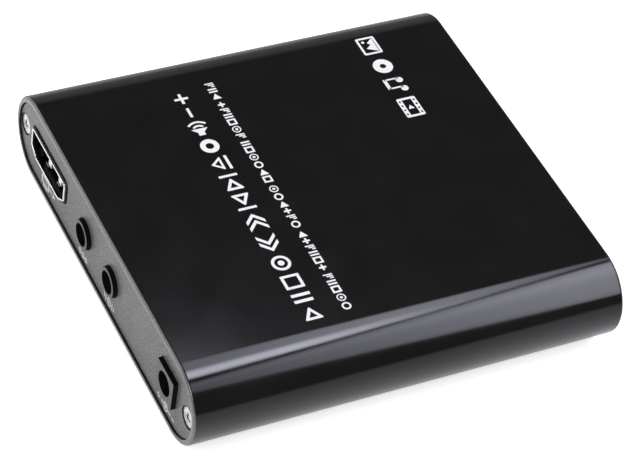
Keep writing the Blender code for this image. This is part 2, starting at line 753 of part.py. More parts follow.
def jack_pegs(x):
    across = JACK_BODY_WIDTH / 2 - JACK_PEG_RADIUS - SEAT_GAP
    near = JACK_BODY_REAR_Y + JACK_PEG_INSET
    far = JACK_BODY_FRONT_Y - JACK_PEG_INSET
    return [(x - across, near), (x - across, far), (x + across, far)]


def make_jack(prefix, x, material):
    place = (x, JACK_BODY_FRONT_Y, JACK_AXIS_Z)
    half = JACK_BODY_WIDTH / 2
    body_top = JACK_AXIS_Z + JACK_BODY_ABOVE_AXIS
    body = bmesh.new()
    y_range = (JACK_BODY_REAR_Y, JACK_BODY_FRONT_Y)
    add_box(body, (x - half, x + half), y_range, (PART_SEAT, body_top))
    made = piece(f"{prefix}_jack_body", body, place, material)

    additions = bmesh.new()
    barrel_start = JACK_BODY_FRONT_Y - JOIN_OVERLAP
    add_rod(additions, "Y", x, JACK_AXIS_Z, barrel_start, SOCKET_FACE_Y, JACK_BARREL_RADIUS, CIRCLE_STEPS)
    for peg_x, peg_y in jack_pegs(x):
        add_rod(additions, "Z", peg_x, peg_y, LEG_END, PART_SEAT + JOIN_OVERLAP, JACK_PEG_RADIUS)
    combine(made, "UNION", additions)

    bore = bmesh.new()
    bore_end = SOCKET_FACE_Y + CUT_OVERRUN
    bore_start = SOCKET_FACE_Y - JACK_BORE_DEPTH
    add_rod(bore, "Y", x, JACK_AXIS_Z, bore_start, bore_end, JACK_BORE_RADIUS, CIRCLE_STEPS)
    combine(made, "DIFFERENCE", bore)
    cut_leaf_room(made, x, JACK_LEAF_OFFSET, JACK_LEAF_Y, JACK_AXIS_Z, half)
    make_leaf(f"{prefix}_jack_leaf", x + JACK_LEAF_OFFSET, JACK_LEAF_Y, JACK_AXIS_Z)


def cut_leaf_room(target, x, offset, pivot_y, axis_z, half_width):
    """Opens a socket's side for its sprung contact, and its floor for the contact's pin."""
    room = bmesh.new()
    window_height = LEAF_HEIGHT + 2 * RUN_GAP
    window_start = pivot_y - LEAF_PIN_RADIUS - RUN_GAP
    window_end = pivot_y + LEAF_LENGTH + 2 * RUN_GAP
    window_z = (axis_z - window_height / 2, axis_z + window_height / 2)
    x_range = (x + offset - LEAF_BULGE, x + half_width + CUT_OVERRUN)
    add_box(room, x_range, (window_start, window_end), window_z)
    combine(target, "DIFFERENCE", room)
    slot = bmesh.new()
    reach = LEAF_PIN_RADIUS + RUN_GAP
    x_range = (x + offset - reach, x + half_width + CUT_OVERRUN)
    z_range = (LEG_END, axis_z)
    add_box(slot, x_range, (window_start, pivot_y + reach), z_range)
    combine(target, "DIFFERENCE", slot)


def make_leaf(name, x, y, axis_z):
    """A bent contact strip that turns on the pin at its rear end."""
    route = [
        (0.0, 0.0),
        (0.0, LEAF_LENGTH / 4),
        (-LEAF_BULGE, LEAF_LENGTH * 2 / 3),
        (-LEAF_BULGE, LEAF_LENGTH * 3 / 4),
        (-LEAF_TIP_RETURN, LEAF_LENGTH),
    ]
    outer_side = [(x + shift + LEAF_THICKNESS / 2, y + along) for shift, along in route]
    inner_side = [(x + shift - LEAF_THICKNESS / 2, y + along) for shift, along in route]
    strip = bmesh.new()
    z_range = (axis_z - LEAF_HEIGHT / 2, axis_z + LEAF_HEIGHT / 2)
    add_prism(strip, "Z", z_range[0], z_range[1], [outer_side + inner_side[::-1]])
    made = piece(name, strip, (x, y, axis_z), FINISHES["brass"])
    pin = bmesh.new()
    add_rod(pin, "Z", x, y, LEG_END, axis_z + LEAF_HEIGHT / 4, LEAF_PIN_RADIUS)
    combine(made, "UNION", pin)


def make_dc_socket():
    place = (DC_X, SOCKET_FACE_Y, DC_AXIS_Z)
    body = bmesh.new()
    outline = chamfered(DC_X, DC_AXIS_Z, DC_BODY_WIDTH, DC_BODY_HEIGHT, DC_CHAMFER)
    add_prism(body, "Y", DC_REAR_Y, SOCKET_FACE_Y, [outline])
    made = piece("dc_socket_body", body, place, FINISHES["black_plastic"])
    bore = bmesh.new()
    bore_start = SOCKET_FACE_Y - DC_BORE_DEPTH
    add_rod(
        bore, "Y", DC_X, DC_AXIS_Z, bore_start, SOCKET_FACE_Y + CUT_OVERRUN, DC_BORE_RADIUS, CIRCLE_STEPS
    )
    combine(made, "DIFFERENCE", bore)
    pin_hole = bmesh.new()
    hole_end = bore_start + JOIN_OVERLAP
    add_rod(pin_hole, "Y", DC_X, DC_AXIS_Z, DC_REAR_Y - CUT_OVERRUN, hole_end, DC_PIN_RADIUS + RUN_GAP)
    combine(made, "DIFFERENCE", pin_hole)
    cut_leaf_room(made, DC_X, DC_LEAF_OFFSET, DC_LEAF_Y, DC_AXIS_Z, DC_BODY_WIDTH / 2)
    make_leaf("dc_socket_leaf", DC_X + DC_LEAF_OFFSET, DC_LEAF_Y, DC_AXIS_Z)

    pin = bmesh.new()
    pin_end = SOCKET_FACE_Y - DC_PIN_INSET
    tail = DC_REAR_Y - DC_PIN_TAIL
    tip_length = DC_PIN_RADIUS / 2
    profile = [
        (DC_PIN_RADIUS / 2, 0.0),
        (DC_PIN_RADIUS, tip_length),
        (DC_PIN_RADIUS, pin_end - tail),
    ]
    add_turned(pin, "Y", (DC_X, pin_end, DC_AXIS_Z), -1, profile, SMALL_CIRCLE_STEPS)
    pin_piece = piece("dc_socket_pin", pin, place, FINISHES["nickel"])
    leg = bmesh.new()
    x_range = (DC_X - DC_LEG_WIDTH / 2, DC_X + DC_LEG_WIDTH / 2)
    leg_top = DC_AXIS_Z + DC_PIN_RADIUS + SEAT_GAP
    add_box(leg, x_range, dc_leg_ends(), (LEG_END, leg_top))
    combine(pin_piece, "UNION", leg)


def dc_leg_ends():
    middle = DC_REAR_Y - DC_PIN_TAIL / 2
    return (middle - DC_LEG_THICKNESS / 2, middle + DC_LEG_THICKNESS / 2)


def make_sd_slot():
    base = bmesh.new()
    base_outline = rectangle(SD_LEFT_X, SD_FRONT_Y, SD_RIGHT_X, SD_REAR_Y)
    add_prism(base, "Z", PART_SEAT, SD_RAIL_TOP, [base_outline])
    place = (SD_X, SD_FRONT_Y, PART_SEAT)
    made = piece("sd_slot_base", base, place, FINISHES["black_plastic"])
    room = bmesh.new()
    front = SD_FRONT_Y - CUT_OVERRUN
    x_range = (SD_LEFT_X + SD_SIDE_WALL, SD_CARD_RIGHT_X)
    add_box(room, x_range, (front, SD_WALL_Y), (SD_FLOOR_TOP, SD_RAIL_TOP + CUT_OVERRUN))
    combine(made, "DIFFERENCE", room)

    cover = bmesh.new()
    cover_bottom = SD_RAIL_TOP + SEAT_GAP
    add_prism(cover, "Z", cover_bottom, cover_bottom + SD_COVER_THICKNESS, [base_outline])
    piece("sd_slot_cover", cover, (SD_X, SD_FRONT_Y, cover_bottom), FINISHES["nickel"])


def make_sd_carriage():
    """The bar beside the card, with the tab that the card's inner end pushes."""
    arm_left = SD_CARRIAGE_RIGHT_X - SD_ARM_WIDTH
    tab_start = SD_TAB_END_Y - SD_TAB_THICKNESS
    tab_right = SD_CARRIAGE_RIGHT_X + SD_TAB_LENGTH
    outline = [
        (SD_CARRIAGE_LEFT_X, SD_CARRIAGE_FRONT_Y),
        (SD_CARRIAGE_RIGHT_X, SD_CARRIAGE_FRONT_Y),
        (SD_CARRIAGE_RIGHT_X, tab_start),
        (tab_right, tab_start),
        (tab_right, SD_TAB_END_Y),
        (arm_left, SD_TAB_END_Y),
        (arm_left, SD_BAR_END_Y),
        (SD_CARRIAGE_LEFT_X, SD_BAR_END_Y),
    ]
    bottom = SD_FLOOR_TOP + RUN_GAP
    carriage = bmesh.new()
    add_prism(carriage, "Z", bottom, bottom + SD_CARRIAGE_HEIGHT, [outline])
    place = (SD_CARRIAGE_LEFT_X + SD_CARRIAGE_WIDTH / 2, SD_CARRIAGE_FRONT_Y, bottom)
    piece("sd_carriage", carriage, place, FINISHES["white_plastic"])


def make_sd_spring():
    start = SD_BAR_END_Y + RUN_GAP + SD_SPRING_WIRE_RADIUS
    end = SD_WALL_Y - RUN_GAP - SD_SPRING_WIRE_RADIUS
    steps = SD_SPRING_TURNS * SPRING_STEPS_PER_TURN
    curve = bpy.data.curves.new("sd_carriage_spring", "CURVE")
    curve.dimensions = "3D"
    curve.bevel_depth = SD_SPRING_WIRE_RADIUS
    curve.bevel_resolution = 1
    curve.use_fill_caps = True
    spline = curve.splines.new("POLY")
    spline.points.add(steps)
    for step, point in enumerate(spline.points):
        turn = 2 * math.pi * step / SPRING_STEPS_PER_TURN
        across = SD_SPRING_RADIUS * math.cos(turn)
        rise = SD_SPRING_RADIUS * math.sin(turn)
        point.co = (across, (end - start) * step / steps, rise, 1.0)
    spring = bpy.data.objects.new("sd_carriage_spring", curve)
    spring.location = (SD_SPRING_X, start, SD_SPRING_Z)
    spring.parent = bpy.data.objects["media_player"]
    curve.materials.append(FINISHES["nickel"])
    bpy.context.scene.collection.objects.link(spring)


def make_ir_window():
    flat = IR_WINDOW_WIDTH / 2 - IR_WINDOW_HEIGHT / 2
    radius = IR_WINDOW_HEIGHT / 2
    lip_start = -(PLATE_BACK_Y - SEAT_GAP)
    lip_end = lip_start + IR_WINDOW_LIP_THICKNESS
    lens = bmesh.new()
    window = stadium(IR_X, TUBE_AXIS_Z, flat, radius, SMALL_CIRCLE_STEPS)
    add_prism(lens, "Y", -PLATE_FACE_Y, lip_start + JOIN_OVERLAP / 2, [window])
    made = piece("ir_window", lens, (IR_X, -PLATE_FACE_Y, TUBE_AXIS_Z), FINISHES["dark_red"])
    lip = bmesh.new()
    lip_outline = stadium(IR_X, TUBE_AXIS_Z, flat, radius + IR_WINDOW_LIP, SMALL_CIRCLE_STEPS)
    add_prism(lip, "Y", lip_start, lip_end, [lip_outline])
    combine(made, "UNION", lip)


def ir_legs():
    middle = (IR_BODY_FRONT_Y + IR_BODY_REAR_Y) / 2
    return [(IR_RECEIVER_X + step * IR_LEG_SPACING, middle) for step in (-1, 0, 1)]


def make_ir_receiver():
    body = bmesh.new()
    half = IR_BODY_WIDTH / 2
    x_range = (IR_RECEIVER_X - half, IR_RECEIVER_X + half)
    z_range = (PART_SEAT, PART_SEAT + IR_BODY_HEIGHT)
    add_box(body, x_range, (IR_BODY_FRONT_Y, IR_BODY_REAR_Y), z_range)
    place = (IR_RECEIVER_X, IR_BODY_FRONT_Y, PART_SEAT)
    made = piece("ir_receiver", body, place, FINISHES["black_plastic"])
    additions = bmesh.new()
    depth = IR_BODY_FRONT_Y - IR_LENS_Y
    dome = [
        (IR_LENS_RADIUS * math.sin(turn), depth * (1 - math.cos(turn)))
        for turn in (math.pi / 2 * step / WIRE_STEPS for step in range(WIRE_STEPS + 1))
    ]
    dome.append((IR_LENS_RADIUS, depth + JOIN_OVERLAP))
    lens_place = (IR_RECEIVER_X, IR_LENS_Y, TUBE_AXIS_Z)
    add_turned(additions, "Y", lens_place, 1, dome, SMALL_CIRCLE_STEPS)
    for x, y in ir_legs():
        reach = IR_LEG_WIDTH / 2
        z_range = (LEG_END, PART_SEAT + JOIN_OVERLAP)
        add_box(additions, (x - reach, x + reach), (y - reach, y + reach), z_range)
    combine(made, "UNION", additions)


def make_status_led():
    make_block("status_led", LED_PLACE, LED_SIZE, FINISHES["clear_plastic"])


def leg_slot(x, y, width, length):
    return centred(x, y, width + 2 * LEG_GAP, length + 2 * LEG_GAP)


def make_board():
    holes = []
    for x, y in hdmi_legs():
        holes.append(leg_slot(x, y, HDMI_WALL, HDMI_LEG_WIDTH))
    for x, y in usb_legs():
        holes.append(leg_slot(x, y, USB_WALL, USB_LEG_WIDTH))
    for jack_x in (AV_JACK_X, COAX_JACK_X):
        for x, y in jack_pegs(jack_x):
            holes.append(circle(x, y, JACK_PEG_RADIUS + LEG_GAP, SMALL_CIRCLE_STEPS))
        pin_x = jack_x + JACK_LEAF_OFFSET
        holes.append(circle(pin_x, JACK_LEAF_Y, LEAF_PIN_RADIUS + LEG_GAP, SMALL_CIRCLE_STEPS))
    holes.append(circle(DC_X + DC_LEAF_OFFSET, DC_LEAF_Y, LEAF_PIN_RADIUS + LEG_GAP, SMALL_CIRCLE_STEPS))
    leg_y = sum(dc_leg_ends()) / 2
    holes.append(leg_slot(DC_X, leg_y, DC_LEG_WIDTH, DC_LEG_THICKNESS))
    for x, y in ir_legs():
        holes.append(leg_slot(x, y, IR_LEG_WIDTH, IR_LEG_WIDTH))
    board = bmesh.new()
    outline = rectangle(-BOARD_EDGE_X, -BOARD_END_Y, BOARD_EDGE_X, BOARD_END_Y)
    add_prism(board, "Z", BOARD_BOTTOM, BOARD_TOP, [outline, *holes])
    piece("main_board", board, (0.0, 0.0, BOARD_BOTTOM), FINISHES["board_green"])


def make_block(name, place, size, material, bottom=PART_SEAT):
    block = bmesh.new()
    add_prism(block, "Z", bottom, bottom + size[2], [centred(place[0], place[1], size[0], size[1])])
    return piece(name, block, (*place, bottom), material)


def make_decoder():
    place = (CHIP_X, CHIP_Y)
    make_block("main_chip", place, (CHIP_SIDE, CHIP_SIDE, CHIP_HEIGHT), FINISHES["chip"])
    make_block("thermal_pad", place, (PAD_SIDE, PAD_SIDE, PAD_THICKNESS), FINISHES["pad"], PAD_BOTTOM)

    fins = bmesh.new()
    half = SINK_SIDE / 2
    pitch = (SINK_SIDE - SINK_FIN_THICKNESS) / (SINK_FINS - 1)
    top = SINK_BOTTOM + SINK_HEIGHT
    valley = SINK_BOTTOM + SINK_BASE
    outline = [(CHIP_X + half, SINK_BOTTOM), (CHIP_X - half, SINK_BOTTOM)]
    for fin in range(SINK_FINS):
        left = CHIP_X - half + fin * pitch
        right = left + SINK_FIN_THICKNESS
        outline += [(left, top), (right, top)]
        if fin < SINK_FINS - 1:
            outline += [(right, valley), (left + pitch, valley)]
    add_prism(fins, "Y", CHIP_Y - half, CHIP_Y + half, [outline])
    piece("heat_sink", fins, (CHIP_X, CHIP_Y, SINK_BOTTOM), FINISHES["aluminium"])


def make_memory():
    spots = spaced(IR_BODY_REAR_Y, HDMI_REAR_Y, [MEMORY_SIZE[1], MEMORY_SIZE[1]])
    for name, y in zip(("front", "rear"), spots):
        make_block(f"memory_chip_{name}", (MEMORY_X, y), MEMORY_SIZE, FINISHES["chip"])


def make_chips():
    lengths = [CRYSTAL_SIZE[1], FLASH_SIZE[1], AUDIO_SIZE[1]]
    crystal_y, flash_y, audio_y = spaced(SD_REAR_Y, JACK_BODY_REAR_Y, lengths)
    make_block("flash_chip", (FLASH_X, flash_y), FLASH_SIZE, FINISHES["chip"])
    make_block("audio_chip", (FLASH_X, audio_y), AUDIO_SIZE, FINISHES["chip"])
    crystal = bmesh.new()
    width, length, height = CRYSTAL_SIZE
    outline = chamfered(FLASH_X, crystal_y, width, length, CRYSTAL_CORNER)
    add_prism(crystal, "Z", PART_SEAT, PART_SEAT + height, [outline])
    piece("crystal", crystal, (FLASH_X, crystal_y, PART_SEAT), FINISHES["nickel"])


def make_inductor(name, y):
    inductor = bmesh.new()
    width, length, height = INDUCTOR_SIZE
    outline = chamfered(INDUCTOR_X, y, width, length, INDUCTOR_CORNER)
    add_prism(inductor, "Z", PART_SEAT, PART_SEAT + height, [outline])
    piece(name, inductor, (INDUCTOR_X, y, PART_SEAT), FINISHES["ferrite"])


def make_regulator(middle_y):
    width, length, height = REGULATOR_SIZE
    y = middle_y - REGULATOR_TAB_LENGTH / 2
    regulator = make_block("voltage_regulator", (INDUCTOR_X, y), REGULATOR_SIZE, FINISHES["chip"])
    tab = bmesh.new()
    half = REGULATOR_TAB_WIDTH / 2
    tab_bottom = PART_SEAT + SEAT_GAP
    tab_y = (y, y + length / 2 + REGULATOR_TAB_LENGTH)
    tab_z = (tab_bottom, tab_bottom + REGULATOR_TAB_HEIGHT)
    add_box(tab, (INDUCTOR_X - half, INDUCTOR_X + half), tab_y, tab_z)
    combine(regulator, "UNION", tab)


def make_capacitor(name, y):
    size = (CAPACITOR_BASE, CAPACITOR_BASE, CAPACITOR_BASE_HEIGHT)
    made = make_block(name, (CAPACITOR_X, y), size, FINISHES["aluminium"])
    profile = [
        (CAPACITOR_RADIUS, CAPACITOR_BASE_HEIGHT / 2),
        (CAPACITOR_RADIUS, CAPACITOR_HEIGHT - CAPACITOR_ROUND),
        (CAPACITOR_RADIUS - CAPACITOR_ROUND, CAPACITOR_HEIGHT),
    ]
    can = bmesh.new()
    add_turned(can, "Z", (CAPACITOR_X, y, PART_SEAT), 1, profile, SMALL_CIRCLE_STEPS)
    combine(made, "UNION", can)


def make_power_parts():
    power_end = dc_leg_ends()[0]
    regulator_y, front_y, rear_y = spaced(SD_REAR_Y, power_end, POWER_LENGTHS)
    make_regulator(regulator_y)
    make_inductor("power_inductor_front", front_y)
    make_inductor("power_inductor_rear", rear_y)
    names = ("capacitor_front", "capacitor_middle", "capacitor_rear")
    spots = spaced(SD_REAR_Y, JACK_BODY_REAR_Y, [CAPACITOR_BASE] * len(names))
    for name, y in zip(names, spots):
        make_capacitor(name, y)


clear_scene()
bpy.context.scene.collection.objects.link(bpy.data.objects.new("media_player", None))
FINISHES = {
    "anodised": finish("black_anodised_aluminium", (0.012, 0.012, 0.013), 0.22, 0.3),
    "screw": finish("bright_screw_steel", (0.72, 0.71, 0.69), 0.22, 1.0),
    "nickel": finish("nickel_plate", (0.70, 0.68, 0.64), 0.18, 1.0),
    "brass": finish("contact_brass", (0.72, 0.52, 0.22), 0.3, 1.0),
    "black_plastic": finish("black_plastic", (0.015, 0.015, 0.015), 0.35),
    "white_plastic": finish("white_plastic", (0.75, 0.74, 0.70), 0.45),
    "clear_plastic": finish("milky_clear_plastic", (0.80, 0.82, 0.85), 0.2),
    "dark_red": finish("dark_infrared_window", (0.02, 0.003, 0.004), 0.08),
    "rubber": finish("foot_rubber", (0.02, 0.02, 0.02), 0.8),
    "board_green": finish("board_green", (0.01, 0.12, 0.05), 0.35),
    "chip": finish("chip_black", (0.02, 0.02, 0.02), 0.55),
    "pad": finish("thermal_pad_grey", (0.35, 0.37, 0.40), 0.8),
    "aluminium": finish("plain_aluminium", (0.75, 0.75, 0.76), 0.35, 1.0),
    "ferrite": finish("inductor_ferrite", (0.06, 0.06, 0.065), 0.6),
}

make_housing()
make_rear_plate()
make_front_plate()
make_screws()
make_feet()
make_board()
make_hdmi()
make_usb()
make_jack("av", AV_JACK_X, FINISHES["black_plastic"])
make_jack("coax", COAX_JACK_X, FINISHES["black_plastic"])
make_dc_socket()
make_sd_slot()
make_sd_carriage()
make_sd_spring()
make_ir_window()
make_ir_receiver()
make_status_led()
make_decoder()
make_memory()
make_chips()
make_power_parts()
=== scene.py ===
"""The looks of the media player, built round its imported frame. Metres, +Z up."""

import math

import bmesh
import bpy
from mathutils import Matrix, Vector
from mathutils.geometry import delaunay_2d_cdt

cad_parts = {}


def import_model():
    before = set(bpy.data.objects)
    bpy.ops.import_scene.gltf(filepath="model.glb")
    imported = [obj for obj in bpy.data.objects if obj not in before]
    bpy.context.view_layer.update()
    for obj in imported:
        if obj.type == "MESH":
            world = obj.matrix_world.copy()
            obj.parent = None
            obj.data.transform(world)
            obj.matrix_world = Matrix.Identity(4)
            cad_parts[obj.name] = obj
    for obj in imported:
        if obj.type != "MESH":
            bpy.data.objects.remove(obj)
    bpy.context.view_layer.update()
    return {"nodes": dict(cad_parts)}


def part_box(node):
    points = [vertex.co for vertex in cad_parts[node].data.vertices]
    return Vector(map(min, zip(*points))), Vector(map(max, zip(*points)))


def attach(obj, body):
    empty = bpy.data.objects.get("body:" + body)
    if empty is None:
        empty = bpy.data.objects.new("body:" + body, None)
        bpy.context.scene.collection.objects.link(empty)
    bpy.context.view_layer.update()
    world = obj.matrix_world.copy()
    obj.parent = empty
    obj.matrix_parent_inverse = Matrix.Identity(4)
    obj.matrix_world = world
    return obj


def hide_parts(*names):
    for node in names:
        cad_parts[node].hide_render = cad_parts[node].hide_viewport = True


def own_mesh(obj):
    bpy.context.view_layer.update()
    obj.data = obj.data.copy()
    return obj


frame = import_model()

# The housing tube and its end plates
AXIS_Z = 0.00885
FLAT = 0.03065
OUTER_RADIUS = 0.00785
POCKET_RADIUS = 0.0068
INNER_RADIUS = 0.00665
PLATE_RADIUS = 0.00672
END_Y = 0.0387
PLATE_FACE_Y = 0.03835
PLATE_BACK_Y = 0.03715
POCKET_FLOOR_Y = 0.03695
SOCKET_FACE_Y = 0.03915
TOP_Z = 0.0167
BOSS_X = 0.0352
BOSS_RADIUS = 0.0026
BOSS_BORE = 0.00135
BOSS_SLOT = 0.0012
LEDGE_Z = (0.00315, 0.0041)
LEDGE_X = (0.0336, 0.0356)

# The sockets
LEG_END_Z = 0.0035
PART_SEAT_Z = 0.0061
HDMI_X = 0.0239
HDMI_BOTTOM_Z = 0.00625
HDMI_SIZE = (0.0150, 0.0054)
HDMI_CHAMFER = (0.0023, 0.0015)
HDMI_WALL = 0.00035
HDMI_Y = (0.02735, 0.03885)
HDMI_AXIS_Z = 0.00895
USB_X = 0.0103
USB_AXIS_Z = 0.00895
USB_SIZE = (0.0131, 0.0057)
USB_WALL = 0.0003
USB_Y = (-0.03915, -0.02515)
JACK_X = {"av_jack": 0.0077, "coax_jack": -0.0038}
JACK_AXIS_Z = 0.0084
JACK_BODY_Y = (0.02495, 0.03695)
JACK_HALF_WIDTH = 0.0031
JACK_TOP_Z = 0.0110
BARREL_RADIUS = 0.0027
JACK_BORE = 0.0018
DC_X = -0.0277
DC_AXIS_Z = 0.0091
DC_SIZE = (0.0064, 0.0060)
DC_REAR_Y = 0.02795
DC_BORE = 0.0020
DC_PIN = 0.00065
IR_X = 0.024725
IR_SIZE = (0.0070, 0.0038)

COUNTERSINK = 0.00203
WHITE = (1.0, 1.0, 1.0, 1.0)


def rectangle(u, v, width, height):
    half, rise = width / 2, height / 2
    return [(u - half, v - rise), (u + half, v - rise), (u + half, v + rise), (u - half, v + rise)]


def rounded(corners, radius, steps=4):
    points = []
    count = len(corners)
    for index in range(count):
        before, here, after = (Vector(corners[(index + shift) % count]) for shift in (-1, 0, 1))
        back, on = (before - here).normalized(), (after - here).normalized()
        half = back.angle(on) / 2
        centre = here + (back + on).normalized() * (radius / math.sin(half))
        first = here + back * (radius / math.tan(half)) - centre
        last = here + on * (radius / math.tan(half)) - centre
        for step in range(steps + 1):
            spoke = first.lerp(last, step / steps).normalized() * radius
            points.append(tuple(centre + spoke))
    return points


def panel(u, v, width, height, corner, steps=4):
    return rounded(rectangle(u, v, width, height), corner, steps)


def span(middle, half):
    return middle - half, middle + half


def swept(u, v, radius, first, last, steps):
    """Points along an arc between two angles in radians, with both ends."""
    turns = [first + (last - first) * step / steps for step in range(steps + 1)]
    return [(u + radius * math.cos(turn), v + radius * math.sin(turn)) for turn in turns]


def circle(u, v, radius, steps=64):
    return swept(u, v, radius, 0.0, 2 * math.pi, steps)[:-1]


def stadium(u, v, flat, radius, steps=64):
    quarter = math.pi / 2
    right = swept(u + flat, v, radius, -quarter, quarter, steps)
    return right + swept(u - flat, v, radius, quarter, 3 * quarter, steps)


def inside(point, loop):
    found = False
    for (u1, v1), (u2, v2) in zip(loop, loop[1:] + loop[:1]):
        if (v1 > point.y) != (v2 > point.y) and point.x < u1 + (point.y - v1) * (u2 - u1) / (v2 - v1):
            found = not found
    return found


def fill(mesh, rings, loops):
    """Closes the space inside the first loop and outside the others with triangles."""
    points = [Vector(point) for loop in loops for point in loop]
    verts = [vert for ring in rings for vert in ring]
    edges = []
    base = 0
    for loop in loops:
        edges += [(base + index, base + (index + 1) % len(loop)) for index in range(len(loop))]
        base += len(loop)
    made = delaunay_2d_cdt(points, edges, [], 1, 1e-9)
    for triangle in made[2]:
        corners = [made[3][corner][0] for corner in triangle]
        middle = sum((points[corner] for corner in corners), Vector((0, 0))) / 3
        if sum(inside(middle, loop) for loop in loops) == 1:
            mesh.faces.new([verts[corner] for corner in corners])


AXES = {"X": (1, 2, 0), "Y": (0, 2, 1), "Z": (0, 1, 2)}


def spot(axis, point, level):
    first, second, along = AXES[axis]
    place = [0.0, 0.0, 0.0]
    place[first], place[second], place[along] = point[0], point[1], level
    return place


def walls(mesh, ring, following):
    count = len(ring)
    for index in range(count):
        after = (index + 1) % count
        mesh.faces.new((ring[index], ring[after], following[after], following[index]))


def layered(mesh, axis, layers):
    """Joins layers of loops, each at its own level, and closes the first and the last."""
    rings = [
        [[mesh.verts.new(spot(axis, point, level)) for point in loop] for loop in loops]
        for level, loops in layers
    ]
    for these, those in zip(rings, rings[1:]):
        for ring, following in zip(these, those):
            walls(mesh, ring, following)
    fill(mesh, rings[0], layers[0][1])
    fill(mesh, rings[-1], layers[-1][1])


def prism(mesh, axis, loops, low, high):
    layered(mesh, axis, [(low, loops), (high, loops)])


def sleeve(mesh, axis, sections):
    """Joins loops in turn, and the last to the first, round a space that stays open."""
    rings = [[mesh.verts.new(spot(axis, point, level)) for point in loop] for level, loop in sections]
    for ring, following in zip(rings, rings[1:] + rings[:1]):
        walls(mesh, ring, following)


def turned(mesh, axis, place, direction, profile, steps=64):
    """Turns (radius, distance) pairs round an axis. A radius of zero closes an end."""
    first, second, along = AXES[axis]
    rings = []
    for radius, distance in profile:
        ring = []
        for step in range(steps if radius > 0 else 1):
            turn = 2 * math.pi * step / steps
            corner = list(place)
            corner[first] += radius * math.cos(turn)
            corner[second] += radius * math.sin(turn)
            corner[along] += direction * distance
            ring.append(mesh.verts.new(corner))
        rings.append(ring)
    for ring, following in zip(rings, rings[1:]):
        for step in range(steps):
            corners = []
            for vert in (
                ring[step % len(ring)],
                ring[(step + 1) % len(ring)],
                following[(step + 1) % len(following)],
                following[step % len(following)],
            ):
                if vert not in corners:
                    corners.append(vert)
            mesh.faces.new(corners)
    for ring in (rings[0], rings[-1]):
        if len(ring) > 1:
            mesh.faces.new(ring)


def arc(radius, steps=4):
    """(inset, depth) pairs of a rounded edge, from the face to the side."""
    turns = [math.pi / 2 * step / steps for step in range(steps + 1)]
    return [(radius * (1 - math.sin(turn)), radius * (1 - math.cos(turn))) for turn in turns]


def block(mesh, x_range, y_range, z_range, edge=0.0001):
    """A box with small bevels all round."""
    x, width = sum(x_range) / 2, x_range[1] - x_range[0]
    y, length = sum(y_range) / 2, y_range[1] - y_range[0]
    low, high = z_range
    bevel = arc(edge, 2)
    stations = [(low + depth, inset) for inset, depth in bevel]
    stations += [(high - depth, inset) for inset, depth in reversed(bevel)]
    layers = [(z, [panel(x, y, width - 2 * inset, length - 2 * inset, edge, 2)]) for z, inset in stations]
    layered(mesh, "Z", layers)


def new_data(name, mesh, closed=True):
    if closed:
        bmesh.ops.recalc_face_normals(mesh, faces=list(mesh.faces))
    data = bpy.data.meshes.new(name)
    mesh.to_mesh(data)
    mesh.free()
    return data


def link(name, data):
    made = bpy.data.objects.new(name, data)
    bpy.context.scene.collection.objects.link(made)
    return made


def carved(name, mesh, steps):
    """Applies joins and cuts, given as (operation, mesh) pairs, and returns the mesh that they make."""
    target = link(name, new_data(name, mesh))
    helpers = []
    for operation, shape in steps:
        helper = link(f"{name}_helper", new_data(name, shape))
        helper.hide_render = True
        modifier = target.modifiers.new(operation, "BOOLEAN")
        modifier.operation = operation
        modifier.solver = "EXACT"
        modifier.object = helper
        helpers.append(helper)
    bpy.context.view_layer.update()
    graph = bpy.context.evaluated_depsgraph_get()
    data = bpy.data.meshes.new_from_object(target.evaluated_get(graph))
    for item in [*helpers, target]:
        bpy.data.objects.remove(item)
    return data


def show(name, shape, look, nodes=(), body="player", sharp=32):
    """Makes a piece of the scene from a mesh, and puts it on its body in place of its nodes."""
    data = shape if isinstance(shape, bpy.types.Mesh) else new_data(name, shape)
    data.materials.clear()
    data.materials.append(LOOKS[look])
    data.polygons.foreach_set("use_smooth", [True] * len(data.polygons))
    data.set_sharp_from_angle(angle=math.radians(sharp))
    piece = link(name, data)
    weighted = piece.modifiers.new("weighted", "WEIGHTED_NORMAL")
    weighted.keep_sharp = True
    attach(piece, body)
    if nodes:
        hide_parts(*nodes)
    return piece


class Graph:
    """A tree of shader nodes, with short ways to add to it. A value is a number or another node's output."""

    def __init__(self, owner, place, clear=False):
        owner.use_nodes = True
        self.nodes, self.links = owner.node_tree.nodes, owner.node_tree.links
        if clear:
            self.nodes.clear()
        self.place = self.add("TexCoord", {}).outputs[place]

    def add(self, kind, inputs, **settings):
        """Adds a node with its settings, and then its inputs, each by name or number."""
        node = self.nodes.new(f"ShaderNode{kind}")
        for name, value in settings.items():
            setattr(node, name, value)
        for key, value in inputs.items():
            if isinstance(value, bpy.types.NodeSocket):
                self.links.new(value, node.inputs[key])
            else:
                node.inputs[key].default_value = value
        return node

    def ramp(self, value, stops):
        """A colour ramp through (position, colour) pairs."""
        node = self.add("ValToRGB", {"Fac": value})
        elements = node.color_ramp.elements
        while len(elements) < len(stops):
            elements.new(0.5)
        for element, (position, color) in zip(elements, stops):
            element.position = position
            element.color = (*color, 1.0)
        return node.outputs["Color"]

    def level(self, value, low, high, start=0.3, end=0.7, kind="LINEAR"):
        """Goes from low to high as the value goes from start to end."""
        inputs = {"From Min": start, "From Max": end, "To Min": low, "To Max": high, "Value": value}
        return self.add("MapRange", inputs, interpolation_type=kind).outputs["Result"]

    def mix(self, share, first, second):
        first, second = ((*value, 1.0) if isinstance(value, tuple) else value for value in (first, second))
        return self.add("Mix", {"Factor": share, "A": first, "B": second}, data_type="RGBA").outputs["Result"]

    def math(self, operation, first, second=0.0):
        return self.add("Math", {0: first, 1: second}, operation=operation).outputs["Value"]

    def axis(self, name):
        return self.add("SeparateXYZ", {"Vector": self.place}).outputs[name]


